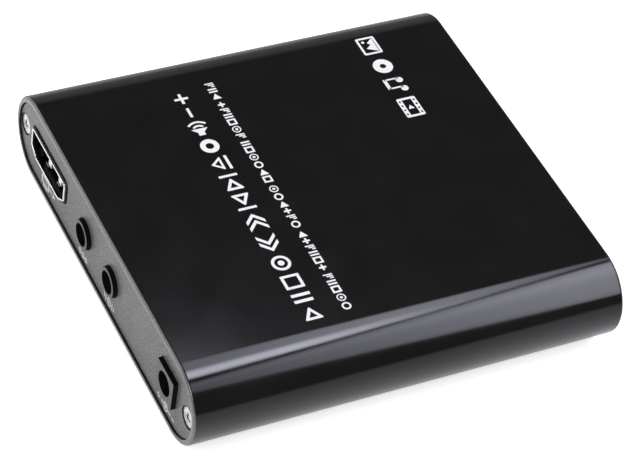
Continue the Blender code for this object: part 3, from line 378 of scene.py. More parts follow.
class Surface(Graph):
    """A procedural material. Its colour, roughness and bump come from noise in the object's own space."""

    def __init__(self, name, roughness, metallic=0.0, shine=0.5):
        self.material = bpy.data.materials.new(f"scene_{name}")
        super().__init__(self.material, "Object")
        self.inputs = self.nodes["Principled BSDF"].inputs
        start = {"Roughness": roughness, "Metallic": metallic, "IOR": 1.5, "Specular IOR Level": shine}
        for key, value in start.items():
            self.inputs[key].default_value = value

    def noise(self, scale, detail=3.0, stretch=(1, 1, 1)):
        place = self.add("Mapping", {"Scale": stretch, "Vector": self.place}).outputs["Vector"]
        return self.add("TexNoise", {"Scale": scale, "Detail": detail, "Vector": place}).outputs["Fac"]

    def distance(self, x, flat_between=False):
        """How far a point is from the two lines along the tube at this x, or from the strip between them."""
        across = self.math("SUBTRACT", self.math("ABSOLUTE", self.axis("X")), x)
        if flat_between:
            across = self.math("MAXIMUM", across)
        rise = self.math("SUBTRACT", self.axis("Z"), AXIS_Z)
        squares = self.math("ADD", self.math("MULTIPLY", across, across), self.math("MULTIPLY", rise, rise))
        return self.math("SQRT", squares)

    def color(self, output):
        self.links.new(output, self.inputs["Base Color"])

    def roughen(self, output):
        self.links.new(output, self.inputs["Roughness"])

    def bump(self, *layers):
        """Adds bumps, each given as (height, depth in metres)."""
        before = {}
        for height, depth in layers:
            node = self.add("Bump", {"Distance": depth, "Height": height, **before})
            before = {"Normal": node.outputs["Normal"]}
        self.links.new(before["Normal"], self.inputs["Normal"])


def shades(color, spread):
    return [tuple(min(1.0, part * (1 + shift)) for part in color) for shift in (-spread, spread)]


def plain_finish(name, color, spread, roughness, grain, depth, metallic=0.0, stretch=(1, 1, 1), shine=0.5):
    """A surface with fine grain, slow changes of tone and uneven gloss."""
    made = Surface(name, roughness, metallic, shine)
    fine = made.noise(grain, 3.0, stretch)
    slow = made.noise(grain / 25, 4.0)
    dark, light = shades(color, spread)
    both = made.math("MULTIPLY", made.math("ADD", fine, slow), 0.5)
    made.color(made.ramp(both, [(0.35, dark), (0.65, light)]))
    made.roughen(made.level(slow, roughness * 0.85, roughness * 1.2))
    made.bump((fine, depth))
    return made.material


def depth_shaded_finish(name, color, painted_shade, face_y, fade, roughness, grain):
    """Bright metal at the face of an end plate, with painted shade that darkens it further in."""
    made = Surface(name, roughness, 1.0)
    fine = made.noise(grain, 3.0)
    away = made.math("ABSOLUTE", made.axis("Y"))
    shown = made.level(away, 0.0, 1.0, face_y - fade, face_y)
    dark, light = shades(color, 0.06)
    # Painted shade: deeper in, the metal's colour fades to the dark colour, standing in for the shade in
    # recesses
    made.color(made.mix(shown, painted_shade, made.ramp(fine, [(0.35, dark), (0.65, light)])))
    made.roughen(made.level(fine, roughness * 0.85, roughness * 1.2))
    made.bump((fine, 0.000001))
    return made.material


def tube_finish():
    """Black anodised aluminium, drawn along the tube, with a paler rim at its ends painted in as the
    highlight that the rim catches.
    """
    made = Surface("anodised_tube", 0.10)
    slow = made.noise(120, 4.0)
    tone = made.ramp(slow, [(0.3, (0.0062, 0.0060, 0.0060)), (0.7, (0.0084, 0.0081, 0.0080))])
    # Painted highlight: the rim round each end of the tube is painted paler, standing in for the light that
    # it reflects
    end = made.level(made.math("ABSOLUTE", made.axis("Y")), 0.0, 1.0, END_Y - 0.00036, END_Y - 0.00022)
    rim = (POCKET_RADIUS + 0.00002, POCKET_RADIUS + 0.00005)
    edge = made.math("MULTIPLY", end, made.level(made.distance(FLAT, True), 0.0, 1.0, *rim))
    painted_rim_highlight = made.ramp(made.noise(5000, 3.0), [(0.3, (0.08, 0.078, 0.076)), (0.7, (0.19, 0.186, 0.18))])
    made.color(made.mix(edge, tone, painted_rim_highlight))
    made.roughen(made.level(slow, 0.09, 0.115))
    made.bump((made.noise(9000, 2.0), 0.0000003), (made.noise(1500, 3.0, (1, 0.02, 1)), 0.00000015))
    return made.material


def plate_finish():
    """Blasted and anodised aluminium, greyer and duller than the tube, with painted shade in the gap round
    each screw.
    """
    made = Surface("blasted_plate", 0.38)
    grain = made.noise(3000, 4.0)
    slow = made.noise(300, 4.0)
    tone = made.ramp(grain, [(0.42, (0.052, 0.050, 0.047)), (0.58, (0.176, 0.169, 0.161))])
    outside_painted_gap_shade = made.level(made.distance(BOSS_X), 0.0, 1.0, COUNTERSINK, COUNTERSINK + 0.00004)
    # Painted shade: the plate is painted near black in the gap round each screw's head
    made.color(made.mix(outside_painted_gap_shade, (0.006, 0.006, 0.006), tone))
    made.roughen(made.level(slow, 0.34, 0.42))
    made.bump((grain, 0.000012))
    return made.material


def board_finish():
    """Green solder mask over copper tracks."""
    made = Surface("board", 0.3)
    cells = made.add("TexBrick", {"Scale": 260, "Mortar Size": 0.06, "Vector": made.place})
    speckle = made.noise(4000, 2.0)
    mask = made.ramp(speckle, [(0.35, (0.008, 0.085, 0.035)), (0.65, (0.012, 0.12, 0.05))])
    made.color(made.mix(cells.outputs["Fac"], mask, (0.03, 0.2, 0.08)))
    made.roughen(made.level(speckle, 0.25, 0.4))
    made.bump((cells.outputs["Fac"], 0.00002), (speckle, 0.000002))
    return made.material


def capacitor_finish(base_top):
    """A bare aluminium can on a black base."""
    made = Surface("capacitor", 0.3)
    brushed = made.noise(3000, 3.0, (1, 1, 0.1))
    above = made.level(made.axis("Z"), 0.0, 1.0, base_top - 0.00001, base_top + 0.00001)
    metal = made.ramp(brushed, [(0.3, (0.62, 0.62, 0.63)), (0.7, (0.78, 0.78, 0.79))])
    made.color(made.mix(above, (0.012, 0.012, 0.012), metal))
    made.links.new(above, made.inputs["Metallic"])
    made.roughen(made.level(brushed, 0.25, 0.42))
    made.bump((brushed, 0.000004))
    return made.material


# Each row: colour, spread of tone, roughness, grain's scale and depth, metallic, grain's stretch, shine
PLAIN_LOOKS = {
    "nickel": ((0.74, 0.73, 0.71), 0.05, 0.34, 7000, 0.0000012, 1.0, (1, 0.1, 1)),
    "spring": ((0.66, 0.66, 0.65), 0.08, 0.25, 9000, 0.000001, 1.0),
    "brass": ((0.78, 0.55, 0.22), 0.06, 0.22, 8000, 0.000001, 1.0),
    "black_plastic": ((0.0026, 0.0026, 0.0026), 0.25, 0.2, 8000, 0.0000012),
    "matt_plastic": ((0.0024, 0.0024, 0.0024), 0.25, 0.6, 6000, 0.000002, 0.0, (1, 1, 1), 0.12),
    "grey_plastic": ((0.020, 0.020, 0.018), 0.35, 0.4, 5000, 0.000003),
    "white_plastic": ((0.74, 0.73, 0.69), 0.04, 0.45, 7000, 0.000002),
    "clear_plastic": ((0.80, 0.82, 0.85), 0.04, 0.2, 6000, 0.000001),
    "dark_window": ((0.016, 0.003, 0.004), 0.15, 0.07, 3000, 0.0000004),
    "rubber": ((0.022, 0.022, 0.022), 0.3, 0.75, 5000, 0.000010),
    "chip": ((0.020, 0.020, 0.021), 0.25, 0.5, 9000, 0.000004),
    "pad": ((0.34, 0.36, 0.40), 0.1, 0.75, 4000, 0.000006),
    "aluminium": ((0.74, 0.74, 0.75), 0.07, 0.33, 5000, 0.000003, 1.0, (1, 0.05, 1)),
    "ferrite": ((0.055, 0.055, 0.060), 0.2, 0.6, 6000, 0.000006),
    "faint_ink": ((0.72, 0.71, 0.69), 0.12, 0.45, 6000, 0.000002),
    "ink": ((0.84, 0.84, 0.83), 0.05, 0.45, 6000, 0.000002),
}
# In each pair the second colour is painted shade, for deep in the screw's cross and inside the socket shells
SCREW_COLORS = (0.66, 0.655, 0.64), (0.06, 0.06, 0.06)
SHELL_COLORS = (0.78, 0.77, 0.75), (0.11, 0.11, 0.10)
LOOKS = {name: plain_finish(name, *row) for name, row in PLAIN_LOOKS.items()}
LOOKS["tube"] = tube_finish()
LOOKS["plate"] = plate_finish()
LOOKS["screw"] = depth_shaded_finish("screw_steel", *SCREW_COLORS, 0.03818, 0.0003, 0.3, 6000)
LOOKS["socket_shell"] = depth_shaded_finish("socket_nickel", *SHELL_COLORS, 0.0386, 0.0008, 0.16, 7000)
LOOKS["board"] = board_finish()
LOOKS["capacitor"] = capacitor_finish(PART_SEAT_Z + 0.0011)


def make_tube():
    mesh = bmesh.new()
    sections = []
    outer_edge = arc(0.0005, 7)
    inner_edge = arc(0.00004, 2)
    for side in (-1, 1):
        end = [(side * (END_Y - depth), OUTER_RADIUS - inset) for inset, depth in reversed(outer_edge)]
        end += [(side * (END_Y - depth), POCKET_RADIUS + inset) for inset, depth in inner_edge]
        end += [(side * POCKET_FLOOR_Y, POCKET_RADIUS), (side * POCKET_FLOOR_Y, INNER_RADIUS)]
        sections += end if side > 0 else end[::-1]
    sleeve(mesh, "Y", [(level, stadium(0.0, AXIS_Z, FLAT, radius)) for level, radius in sections])
    inner_end = POCKET_FLOOR_Y - 0.0002
    for side in (-1, 1):
        boss = []
        for radius, order in ((BOSS_RADIUS, 1), (BOSS_BORE, -1)):
            gap = math.asin(BOSS_SLOT / 2 / radius)
            curve = swept(BOSS_X, AXIS_Z, radius, math.pi + gap, 3 * math.pi - gap, 40)[::order]
            boss += [(side * x, z) for x, z in curve]
        middle = (side * sum(LEDGE_X) / 2, sum(LEDGE_Z) / 2)
        ledge = rectangle(*middle, LEDGE_X[1] - LEDGE_X[0], LEDGE_Z[1] - LEDGE_Z[0])
        for loop in (boss, ledge):
            prism(mesh, "Y", [loop], -inner_end, inner_end)
    show("tube_shell", mesh, "tube", ["housing_tube"])


def hdmi_outline(grow, corner=0.0006):
    """The socket's outline, moved outwards by one distance and rounded."""
    wide, high = HDMI_CHAMFER
    change = wide + high - math.hypot(wide, high)
    left, right = span(HDMI_X, HDMI_SIZE[0] / 2 + grow)
    low, top = HDMI_BOTTOM_Z - grow, HDMI_BOTTOM_Z + HDMI_SIZE[1] + grow
    wide += grow * change / high
    high += grow * change / HDMI_CHAMFER[0]
    corners = [(left + wide, low), (right - wide, low), (right, low + high)]
    corners += [(right, top), (left, top), (left, low + high)]
    return rounded(corners, max(0.00015, corner + grow))


def infrared_outline(grow):
    return stadium(IR_X, AXIS_Z, (IR_SIZE[0] - IR_SIZE[1]) / 2, IR_SIZE[1] / 2 + grow, 24)


def plate(name, side, outlines, node):
    """An end plate. Each outline is a function of how far it is moved outwards."""
    thickness = PLATE_FACE_Y - PLATE_BACK_Y
    stations = arc(0.00006, 3)
    layers = []
    for inset, depth in [*stations, *[(inset, thickness - depth) for inset, depth in reversed(stations)]]:
        loops = [stadium(0.0, AXIS_Z, FLAT, PLATE_RADIUS - inset)]
        loops += [outline(inset) for outline in outlines]
        layers.append((side * (PLATE_FACE_Y - depth), loops))
    mesh = bmesh.new()
    layered(mesh, "Y", layers)
    countersinks = bmesh.new()
    profile = [(0.0, -0.0005), (COUNTERSINK, -0.0005), (COUNTERSINK, 0.0002), (0.00135, 0.00095)]
    profile += [(0.00135, 0.0017), (0.0, 0.0017)]
    for x in (-BOSS_X, BOSS_X):
        turned(countersinks, "Y", (x, side * PLATE_FACE_Y, AXIS_Z), -side, profile)
    show(name, carved(name, mesh, [("DIFFERENCE", countersinks)]), "plate", [node])


def make_plates():
    def opening(u, v, width, height, corner):
        return lambda inset: panel(u, v, width + 2 * inset, height + 2 * inset, corner)

    def barrel_hole(x):
        return lambda inset: circle(x, JACK_AXIS_Z, BARREL_RADIUS + 0.00008 + inset)

    rear = [
        lambda inset: hdmi_outline(0.0005 + inset),
        *[barrel_hole(x) for x in JACK_X.values()],
        opening(DC_X, DC_AXIS_Z, DC_SIZE[0] + 0.00012, DC_SIZE[1] + 0.00012, 0.0003),
    ]
    plate("rear_plate_shell", 1, rear, "rear_panel")
    slot_low, slot_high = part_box("sd_slot_base")
    left, right = slot_low.x + 0.0031, slot_low.x + 0.0282
    low, high = slot_low.z + 0.0001, slot_high.z + 0.0004
    front = [
        opening(USB_X, USB_AXIS_Z, USB_SIZE[0] + 0.0008, USB_SIZE[1] + 0.0008, 0.0005),
        opening((left + right) / 2, (low + high) / 2, right - left, high - low, 0.0003),
        lambda inset: infrared_outline(0.0002 + inset),
    ]
    plate("front_plate_shell", -1, front, "front_panel")


def cross(u, v, arm, half):
    """The outline of a plus sign, a quarter at a time."""
    corners = []
    quarter = [(-half, -arm), (half, -arm), (half, -half)]
    for _ in range(4):
        corners += [(u + across, v + rise) for across, rise in quarter]
        quarter = [(-rise, across) for across, rise in quarter]
    return corners


def make_screws():
    for plate_name, side in (("front", -1), ("rear", 1)):
        for end, x in (("left", -BOSS_X), ("right", BOSS_X)):
            face_y = side * (PLATE_FACE_Y - 0.00005)
            head = [(0.0, 0.0), (0.0008, 0.00001), (0.0014, 0.000045)]
            head += [(0.0018 - inset, 0.00006 + depth) for inset, depth in arc(0.00018)][1:]
            head += [(0.00115, 0.0009), (0.00115, 0.0062), (0.000575, 0.0068), (0.0, 0.0068)]
            mesh = bmesh.new()
            turned(mesh, "Y", (x, face_y, AXIS_Z), -side, head)
            recess = bmesh.new()
            steps = ((0.0003, 0.00113, 0.00028), (-0.00025, 0.00098, 0.00022), (-0.0008, 0.00045, 0.00016))
            layers = [(face_y + side * out, [cross(x, AXIS_Z, arm, half)]) for out, arm, half in steps]
            layered(recess, "Y", layers)
            data = carved("screw", mesh, [("DIFFERENCE", recess)])
            name = f"{plate_name}_screw_{end}"
            show(f"{name}_head", data, "screw", [name])


def make_feet():
    for end, y in (("front", -0.0300), ("rear", 0.0300)):
        for side, x in (("left", -0.0250), ("right", 0.0250)):
            rim = [(0.0040 - inset, depth) for inset, depth in arc(0.00025)]
            profile = [(0.0, 0.00015), (0.0024, 0.00015), (0.0026, 0.0), *rim]
            profile += [(0.0040, 0.0008), (0.0, 0.0008)]
            mesh = bmesh.new()
            turned(mesh, "Z", (x, y, 0.0), 1, profile)
            name = f"foot_{end}_{side}"
            show(f"{name}_pad", mesh, "rubber", [name])


def matt_sides(piece):
    """Gives every face of a socket moulding that doesn't look out of the plate a matt finish."""
    piece.data.materials.append(LOOKS["matt_plastic"])
    for polygon in piece.data.polygons:
        if abs(polygon.normal.y) < 0.8:
            polygon.material_index = 1


def strip(mesh, axis, place, width, path, thickness=0.00014):
    """A bent strip of sheet metal, from points that run along it in the plane square to the axis."""
    points = [Vector(point) for point in path]
    near, far = [], []
    for index, point in enumerate(points):
        along = points[min(index + 1, len(points) - 1)] - points[max(index - 1, 0)]
        across = Vector((-along.y, along.x)).normalized() * thickness / 2
        near.append(tuple(point + across))
        far.append(tuple(point - across))
    loop = near + far[::-1]
    prism(mesh, axis, [loop], *span(place, width / 2))


def finger_path(side, front_y, wall, into, drop, length):
    """A contact finger that hooks in at the front of a shell and comes back to its wall."""
    shape = [(0.0, -0.06), (0.0, 0.6), (0.02, 0.86), (0.09, 1.0), (0.22, 0.96), (0.45, 0.7), (0.7, 0.32)]
    shape += [(0.9, 0.06), (1.0, -0.06)]
    return [(front_y - side * length * along, wall + into * drop * rise) for along, rise in shape]


def shell(mesh, outline, wall, face_y, rear_y):
    """A socket's metal shell with a rounded lip. The outline is a function of how far it is moved inwards."""
    way = 1 if rear_y > face_y else -1
    lip = arc(wall / 2, 3)
    sections = [(face_y + way * depth, outline(inset)) for inset, depth in reversed(lip)]
    sections += [(face_y + way * depth, outline(wall - inset)) for inset, depth in lip[1:]]
    sleeve(mesh, "Y", [*sections, (rear_y, outline(wall)), (rear_y, outline(0.0))])


def shell_legs(mesh, x, half_width, wall, y_places, top_z):
    for side in (-1, 1):
        for y in y_places:
            middle = x + side * (half_width - wall / 2)
            block(mesh, span(middle, wall / 3), span(y, 0.001), (LEG_END_Z, top_z), 0.00004)


def make_hdmi():
    mesh = bmesh.new()
    rear, front = HDMI_Y
    shell(mesh, lambda inset: hdmi_outline(-inset), HDMI_WALL, front, rear)
    shell_legs(mesh, HDMI_X, HDMI_SIZE[0] / 2, HDMI_WALL, (0.02955, 0.03445), HDMI_AXIS_Z)
    top = HDMI_BOTTOM_Z + HDMI_SIZE[1] - HDMI_WALL
    low = HDMI_BOTTOM_Z + HDMI_WALL
    for x in (-0.0058, -0.0013):
        path = finger_path(1, front - 0.00008, top, -1, 0.00112, 0.0024)
        strip(mesh, "X", HDMI_X + x, 0.0012, path, 0.00024)
    for x in (-0.0025, 0.0025):
        strip(mesh, "X", HDMI_X + x, 0.0012, finger_path(1, front - 0.0012, low, 1, 0.0005, 0.0030))
    for side in (-1, 1):
        wall = HDMI_X + side * (HDMI_SIZE[0] / 2 - HDMI_WALL)
        path = [(across, y) for y, across in finger_path(1, front - 0.0012, wall, -side, 0.0004, 0.0030)]
        strip(mesh, "Z", 0.01035, 0.0012, path)
    show("hdmi_metal_shell", mesh, "socket_shell", ["hdmi_shell"])

    contacts = bmesh.new()
    for count, face_z, outwards in ((10, HDMI_AXIS_Z - 0.0009, -1), (9, HDMI_AXIS_Z + 0.0009, 1)):
        z_range = sorted((face_z + outwards * 0.00005, face_z - outwards * 0.00003))
        for index in range(count):
            x = HDMI_X + (index - (count - 1) / 2) * 0.001
            block(contacts, span(x, 0.0002), (0.0306, 0.0364), z_range, 0.00002)
    show("hdmi_contacts", contacts, "brass")


def make_usb():
    mesh = bmesh.new()
    front, rear = USB_Y

    def outline(inset):
        corner = max(0.0002, 0.0006 - inset)
        return panel(USB_X, USB_AXIS_Z, USB_SIZE[0] - 2 * inset, USB_SIZE[1] - 2 * inset, corner)

    shell(mesh, outline, USB_WALL, front, rear)
    shell_legs(mesh, USB_X, USB_SIZE[0] / 2, USB_WALL, (-0.02815, -0.03315), USB_AXIS_Z)
    low, top = span(USB_AXIS_Z, USB_SIZE[1] / 2 - USB_WALL)
    for x in (-0.0031, 0.0031):
        for wall, into in ((top, -1), (low, 1)):
            strip(mesh, "X", USB_X + x, 0.0022, finger_path(-1, front + 0.0010, wall, into, 0.0005, 0.0060))
    show("usb_metal_shell", mesh, "socket_shell", ["usb_shell"])

    contacts = bmesh.new()
    tongue_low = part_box("usb_insulator")[1].z - 0.00254
    for x in (-0.0035, -0.001, 0.001, 0.0035):
        z_range = (tongue_low - 0.00006, tongue_low + 0.00003)
        block(contacts, span(USB_X + x, 0.0005), (-0.0372, -0.0290), z_range, 0.00002)
    show("usb_contacts", contacts, "brass")


def leaf_room(x, offset, pivot_y, axis_z, half_width):
    """The two cuts that hold a sprung contact and its pin."""
    window, slot = bmesh.new(), bmesh.new()
    start = pivot_y - 0.00055
    outside = x + half_width + 0.0005

    def box(mesh, x_range, y_range, z_range):
        middle = (sum(x_range) / 2, sum(y_range) / 2)
        loop = rectangle(*middle, x_range[1] - x_range[0], y_range[1] - y_range[0])
        prism(mesh, "Z", [loop], *z_range)

    box(window, (x + offset - 0.0010, outside), (start, pivot_y + 0.0084), span(axis_z, 0.0008))
    box(slot, (x + offset - 0.00055, outside), (start, pivot_y + 0.00055), (LEG_END_Z, axis_z))
    return [("DIFFERENCE", window), ("DIFFERENCE", slot)]


def plug_bore(x, axis_z, mouth, throat, depth):
    """A cutter for the hole that takes a plug, a little wider at its mouth."""
    profile = [(0.0, -0.0005), (mouth, -0.0005), (mouth, 0.0), (mouth - 0.00003, 0.0018), (throat, 0.0020)]
    cutter = bmesh.new()
    turned(cutter, "Y", (x, SOCKET_FACE_Y, axis_z), -1, [*profile, (throat, depth), (0.0, depth)])
    return cutter


def make_jacks():
    for name, x in JACK_X.items():
        mesh = bmesh.new()
        block(mesh, span(x, JACK_HALF_WIDTH), JACK_BODY_Y, (PART_SEAT_Z, JACK_TOP_Z), 0.00015)
        barrel = bmesh.new()
        profile = [(0.0, 0.0), *[(BARREL_RADIUS - inset, depth) for inset, depth in arc(0.00008)]]
        profile += [(BARREL_RADIUS, 0.0027), (0.0, 0.0027)]
        turned(barrel, "Y", (x, SOCKET_FACE_Y, JACK_AXIS_Z), -1, profile)
        pegs = bmesh.new()
        profile = [(0.0003, 0.0), (0.00045, 0.00015), (0.00045, 0.003)]
        for offset, peg_y in ((-0.00245, 0.02695), (-0.00245, 0.03495), (0.00245, 0.03495)):
            turned(pegs, "Z", (x + offset, peg_y, LEG_END_Z), 1, profile, 24)
        bore = plug_bore(x, JACK_AXIS_Z, 0.00206, JACK_BORE, 0.0118)
        steps = [("UNION", barrel), ("UNION", pegs), ("DIFFERENCE", bore)]
        steps += leaf_room(x, 0.00245, 0.0265, JACK_AXIS_Z, JACK_HALF_WIDTH)
        moulding = carved(name, mesh, steps)
        matt_sides(show(f"{name}_moulding", moulding, "black_plastic", [f"{name}_body"]))


def make_dc_socket():
    mesh = bmesh.new()
    width, height = DC_SIZE
    stations = [(SOCKET_FACE_Y - depth, inset) for inset, depth in arc(0.00008, 3)] + [(DC_REAR_Y, 0.0)]
    layers = []
    for y, inset in stations:
        layers.append((y, [panel(DC_X, DC_AXIS_Z, width - 2 * inset, height - 2 * inset, 0.0003)]))
    layered(mesh, "Y", layers)
    bore, pin_hole = plug_bore(DC_X, DC_AXIS_Z, 0.00217, DC_BORE, 0.0092), bmesh.new()
    profile = [(0.0, 0.0), (0.00085, 0.0), (0.00085, 0.003), (0.0, 0.003)]
    turned(pin_hole, "Y", (DC_X, DC_REAR_Y - 0.0005, DC_AXIS_Z), 1, profile, 32)
    steps = [("DIFFERENCE", bore), ("DIFFERENCE", pin_hole)]
    steps += leaf_room(DC_X, 0.0026, 0.0295, DC_AXIS_Z, 0.0032)
    moulding = carved("dc", mesh, steps)
    matt_sides(show("dc_socket_moulding", moulding, "black_plastic", ["dc_socket_body"]))

    pin = bmesh.new()
    front, length = 0.03795, 0.0112
    profile = [(0.0, 0.0), *[(DC_PIN - inset, depth) for inset, depth in arc(0.0003)]]
    profile += [(DC_PIN, length), (0.0, length)]
    turned(pin, "Y", (DC_X, front, DC_AXIS_Z), -1, profile, 40)
    block(pin, span(DC_X, 0.0008), (0.0271, 0.0276), (LEG_END_Z, 0.00995), 0.00005)
    show("dc_centre_pin", pin, "nickel", ["dc_socket_pin"])


def make_card_spring():
    low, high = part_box("sd_carriage_spring")
    wire, turns, steps, sides = 0.00012, 9, 24, 10
    middle_x, middle_z = (low.x + high.x) / 2, (low.z + high.z) / 2
    radius = (high.x - low.x) / 2 - wire
    start, length = low.y + wire, high.y - low.y - 2 * wire
    mesh = bmesh.new()
    rings = []
    for step in range(turns * steps + 1):
        turn = 2 * math.pi * step / steps
        cosine, sine = math.cos(turn), math.sin(turn)
        out = Vector((cosine, 0.0, sine))
        rise = length / (2 * math.pi * turns)
        across = Vector((-sine * radius, rise, cosine * radius)).normalized().cross(out)
        centre = Vector((middle_x, start + length * step / (turns * steps), middle_z)) + out * radius
        spokes = circle(0.0, 0.0, wire, sides)
        rings.append([mesh.verts.new(centre + out * u + across * v) for u, v in spokes])
    for one, following in zip(rings, rings[1:]):
        walls(mesh, one, following)
    mesh.faces.new(rings[0])
    mesh.faces.new(rings[-1])
    spring = show("card_spring", mesh, "spring", ["sd_carriage_spring"], sharp=60)
    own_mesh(spring)


def make_infrared_window():
    mesh = bmesh.new()
    lip = PLATE_FACE_Y - POCKET_FLOOR_Y
    stations = [(depth, -inset) for inset, depth in arc(0.00025)]
    stations += [(lip, 0.0), (lip, 0.0007), (lip + 0.0008, 0.0007)]
    layered(mesh, "Y", [(depth - PLATE_FACE_Y, [infrared_outline(grow)]) for depth, grow in stations])
    show("infrared_lens", mesh, "dark_window", ["ir_window"])


def make_card_contacts():
    contacts = bmesh.new()
    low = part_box("sd_slot_base")[0]
    floor, first = low.z + 0.0005, low.x + 0.0062
    for index in range(9):
        z_range = (floor - 0.00005, floor + 0.0001)
        block(contacts, span(first + index * 0.0025, 0.0006), (-0.0245, -0.0120), z_range, 0.00004)
    show("card_contacts", contacts, "brass")


INK_HEIGHT = 0.00001


def flat_shape(mesh, loops):
    """A thin printed shape on the top face."""
    prism(mesh, "Z", loops, *span(TOP_Z, INK_HEIGHT))


def crescent(u, v, outer, inner, first, last, steps):
    """A curved stroke between two radii."""
    return swept(u, v, outer, first, last, steps) + swept(u, v, inner, first, last, steps)[::-1]


def pointer(u, v, size, way):
    """The corners of a triangle that points to higher u, or to lower u where way is -1."""
    tip, base = (u + size * 0.85, u) if way > 0 else (u, u + size * 0.85)
    return [(base, v), (tip, v + size / 2), (base, v + size)]


def triangle(u, v, size, way=1):
    return [[rounded(pointer(u, v, size, way)[::way], size * 0.04, 3)]]


def bar(u, v, width, height):
    return [[panel(u + width / 2, v + height / 2, width, height, min(width, height) * 0.05, 3)]]


def ring(u, v, outer, inner):
    return [[circle(u, v, outer, 40), circle(u, v, inner, 32)]]


def disc(u, v, radius):
    return [[circle(u, v, radius, 40)]]


def inset(corners, stroke):
    points = [Vector(corner) for corner in corners]
    made = []
    for index, here in enumerate(points):
        back = (points[index - 1] - here).normalized()
        on = (points[(index + 1) % len(points)] - here).normalized()
        made.append(tuple(here + (back + on).normalized() * (stroke / math.sin(back.angle(on) / 2))))
    return made


def outlined(corners, stroke):
    return [[rounded(corners, stroke / 3, 3), inset(corners, stroke)]]


def arrow(u, v, size, way, stroke):
    return outlined(pointer(u, v, size, way), stroke)


def chevron(u, v, size, way, stroke):
    reach, thick = size * 0.5, stroke * 1.5
    offsets = [(0.0, 0.0), (thick, 0.0), (reach + thick, size / 2)]
    offsets += [(thick, size), (0.0, size), (reach, size / 2)]
    start = u if way > 0 else u + reach + thick
    return [[[(start + way * across, v + rise) for across, rise in offsets]]]


def wave(u, v, radius, stroke):
    """A curved line that opens to the left."""
    edge = math.radians(48)
    return [[crescent(u, v, radius, radius - stroke, -edge, edge, 12)]]


def transport_signs(size, stroke):
    """Generic transport signs, as (width, function of where the sign starts), from left to right."""

    def speaker(u, v):
        offsets = [(0.0, 0.32), (0.22, 0.32), (0.5, 0.05), (0.5, 0.95), (0.22, 0.68), (0.0, 0.68)]
        cone = [(u + size * across, v + size * rise) for across, rise in offsets]
        waves = [wave(u + size * 0.36, v + size / 2, size * reach, stroke * 0.8)[0] for reach in (0.42, 0.7)]
        return [[cone], *waves]

    def frame_sign(u, v):
        return outlined(rectangle(u + size * 0.47, v + size / 2, size * 0.94, size), stroke)

    def eject(u, v):
        corners = [(u, v + size * 0.38), (u + size, v + size * 0.38), (u + size / 2, v + size)]
        return outlined(corners, stroke * 0.8) + bar(u, v, size, stroke)

    def record(u, v):
        middle = (u + size / 2, v + size / 2)
        return ring(*middle, size / 2, size / 2 - stroke) + disc(*middle, size * 0.17)

    def disc_sign(u, v):
        return ring(u + size / 2, v + size / 2, size / 2, size * 0.22)

    def plus(u, v):
        return [[cross(u + size * 0.38, v + size / 2, size * 0.38, stroke / 2)]]

    def pause(u, v):
        width = stroke * 1.2
        return bar(u, v, width, size) + bar(u + size * 0.6 - width, v, width, size)

    def skip(way):
        return lambda u, v: chevron(u, v, size, way, stroke) + chevron(u + size * 0.45, v, size, way, stroke)

    double = size * 0.95 + stroke * 1.5
    return [
        (size * 0.85, lambda u, v: arrow(u, v, size, 1, stroke)),
        (size * 0.6, pause),
        (size * 0.94, frame_sign),
        (size, record),
        (double, skip(-1)),
        (double, skip(1)),
        (size * 1.12, lambda u, v: bar(u, v, stroke, size) + arrow(u + size * 0.27, v, size, -1, stroke)),
        (
            size * 1.12,
            lambda u, v: arrow(u, v, size, 1, stroke) + bar(u + size * 1.12 - stroke, v, stroke, size),
        ),
        (size, eject),
        (size, disc_sign),
        (size * 1.06, speaker),
        (size * 0.7, lambda u, v: bar(u, v + (size - stroke) / 2, size * 0.7, stroke)),
        (size * 0.76, plus),
    ]


def transport_row(start, end, low, size, stroke):
    signs = transport_signs(size, stroke)
    gap = (end - start - sum(width for width, _ in signs)) / (len(signs) - 1)
    shapes = []
    for width, drawn in signs:
        shapes += drawn(start, low)
        start += width + gap
    return shapes


SIGN_WIDTHS = (1.0, 0.62, 0.85, 0.94, 0.8, 1.0, 0.7)


def small_sign(kind, u, v, size):
    """One of a few plain signs: ring, bars, triangle, frame, cross, disc in a ring, steps."""
    middle = v + size / 2
    if kind == 0:
        return ring(u + size / 2, middle, size / 2, size * 0.3)
    if kind == 1:
        return bar(u, v, size * 0.22, size) + bar(u + size * 0.4, v, size * 0.22, size)
    if kind == 2:
        return triangle(u, v, size)
    if kind == 3:
        outer = rectangle(u + size * 0.47, middle, size * 0.94, size)
        return [[outer, rectangle(u + size * 0.47, middle, size * 0.5, size * 0.56)]]
    if kind == 4:
        return [[cross(u + size * 0.4, middle, size * 0.4, size * 0.11)]]
    if kind == 5:
        return ring(u + size / 2, middle, size / 2, size * 0.36) + disc(u + size / 2, middle, size * 0.17)
    heights = (0.4, 0.7, 1.0)
    return [bar(u + size * 0.25 * step, v, size * 0.17, size * tall)[0] for step, tall in enumerate(heights)]


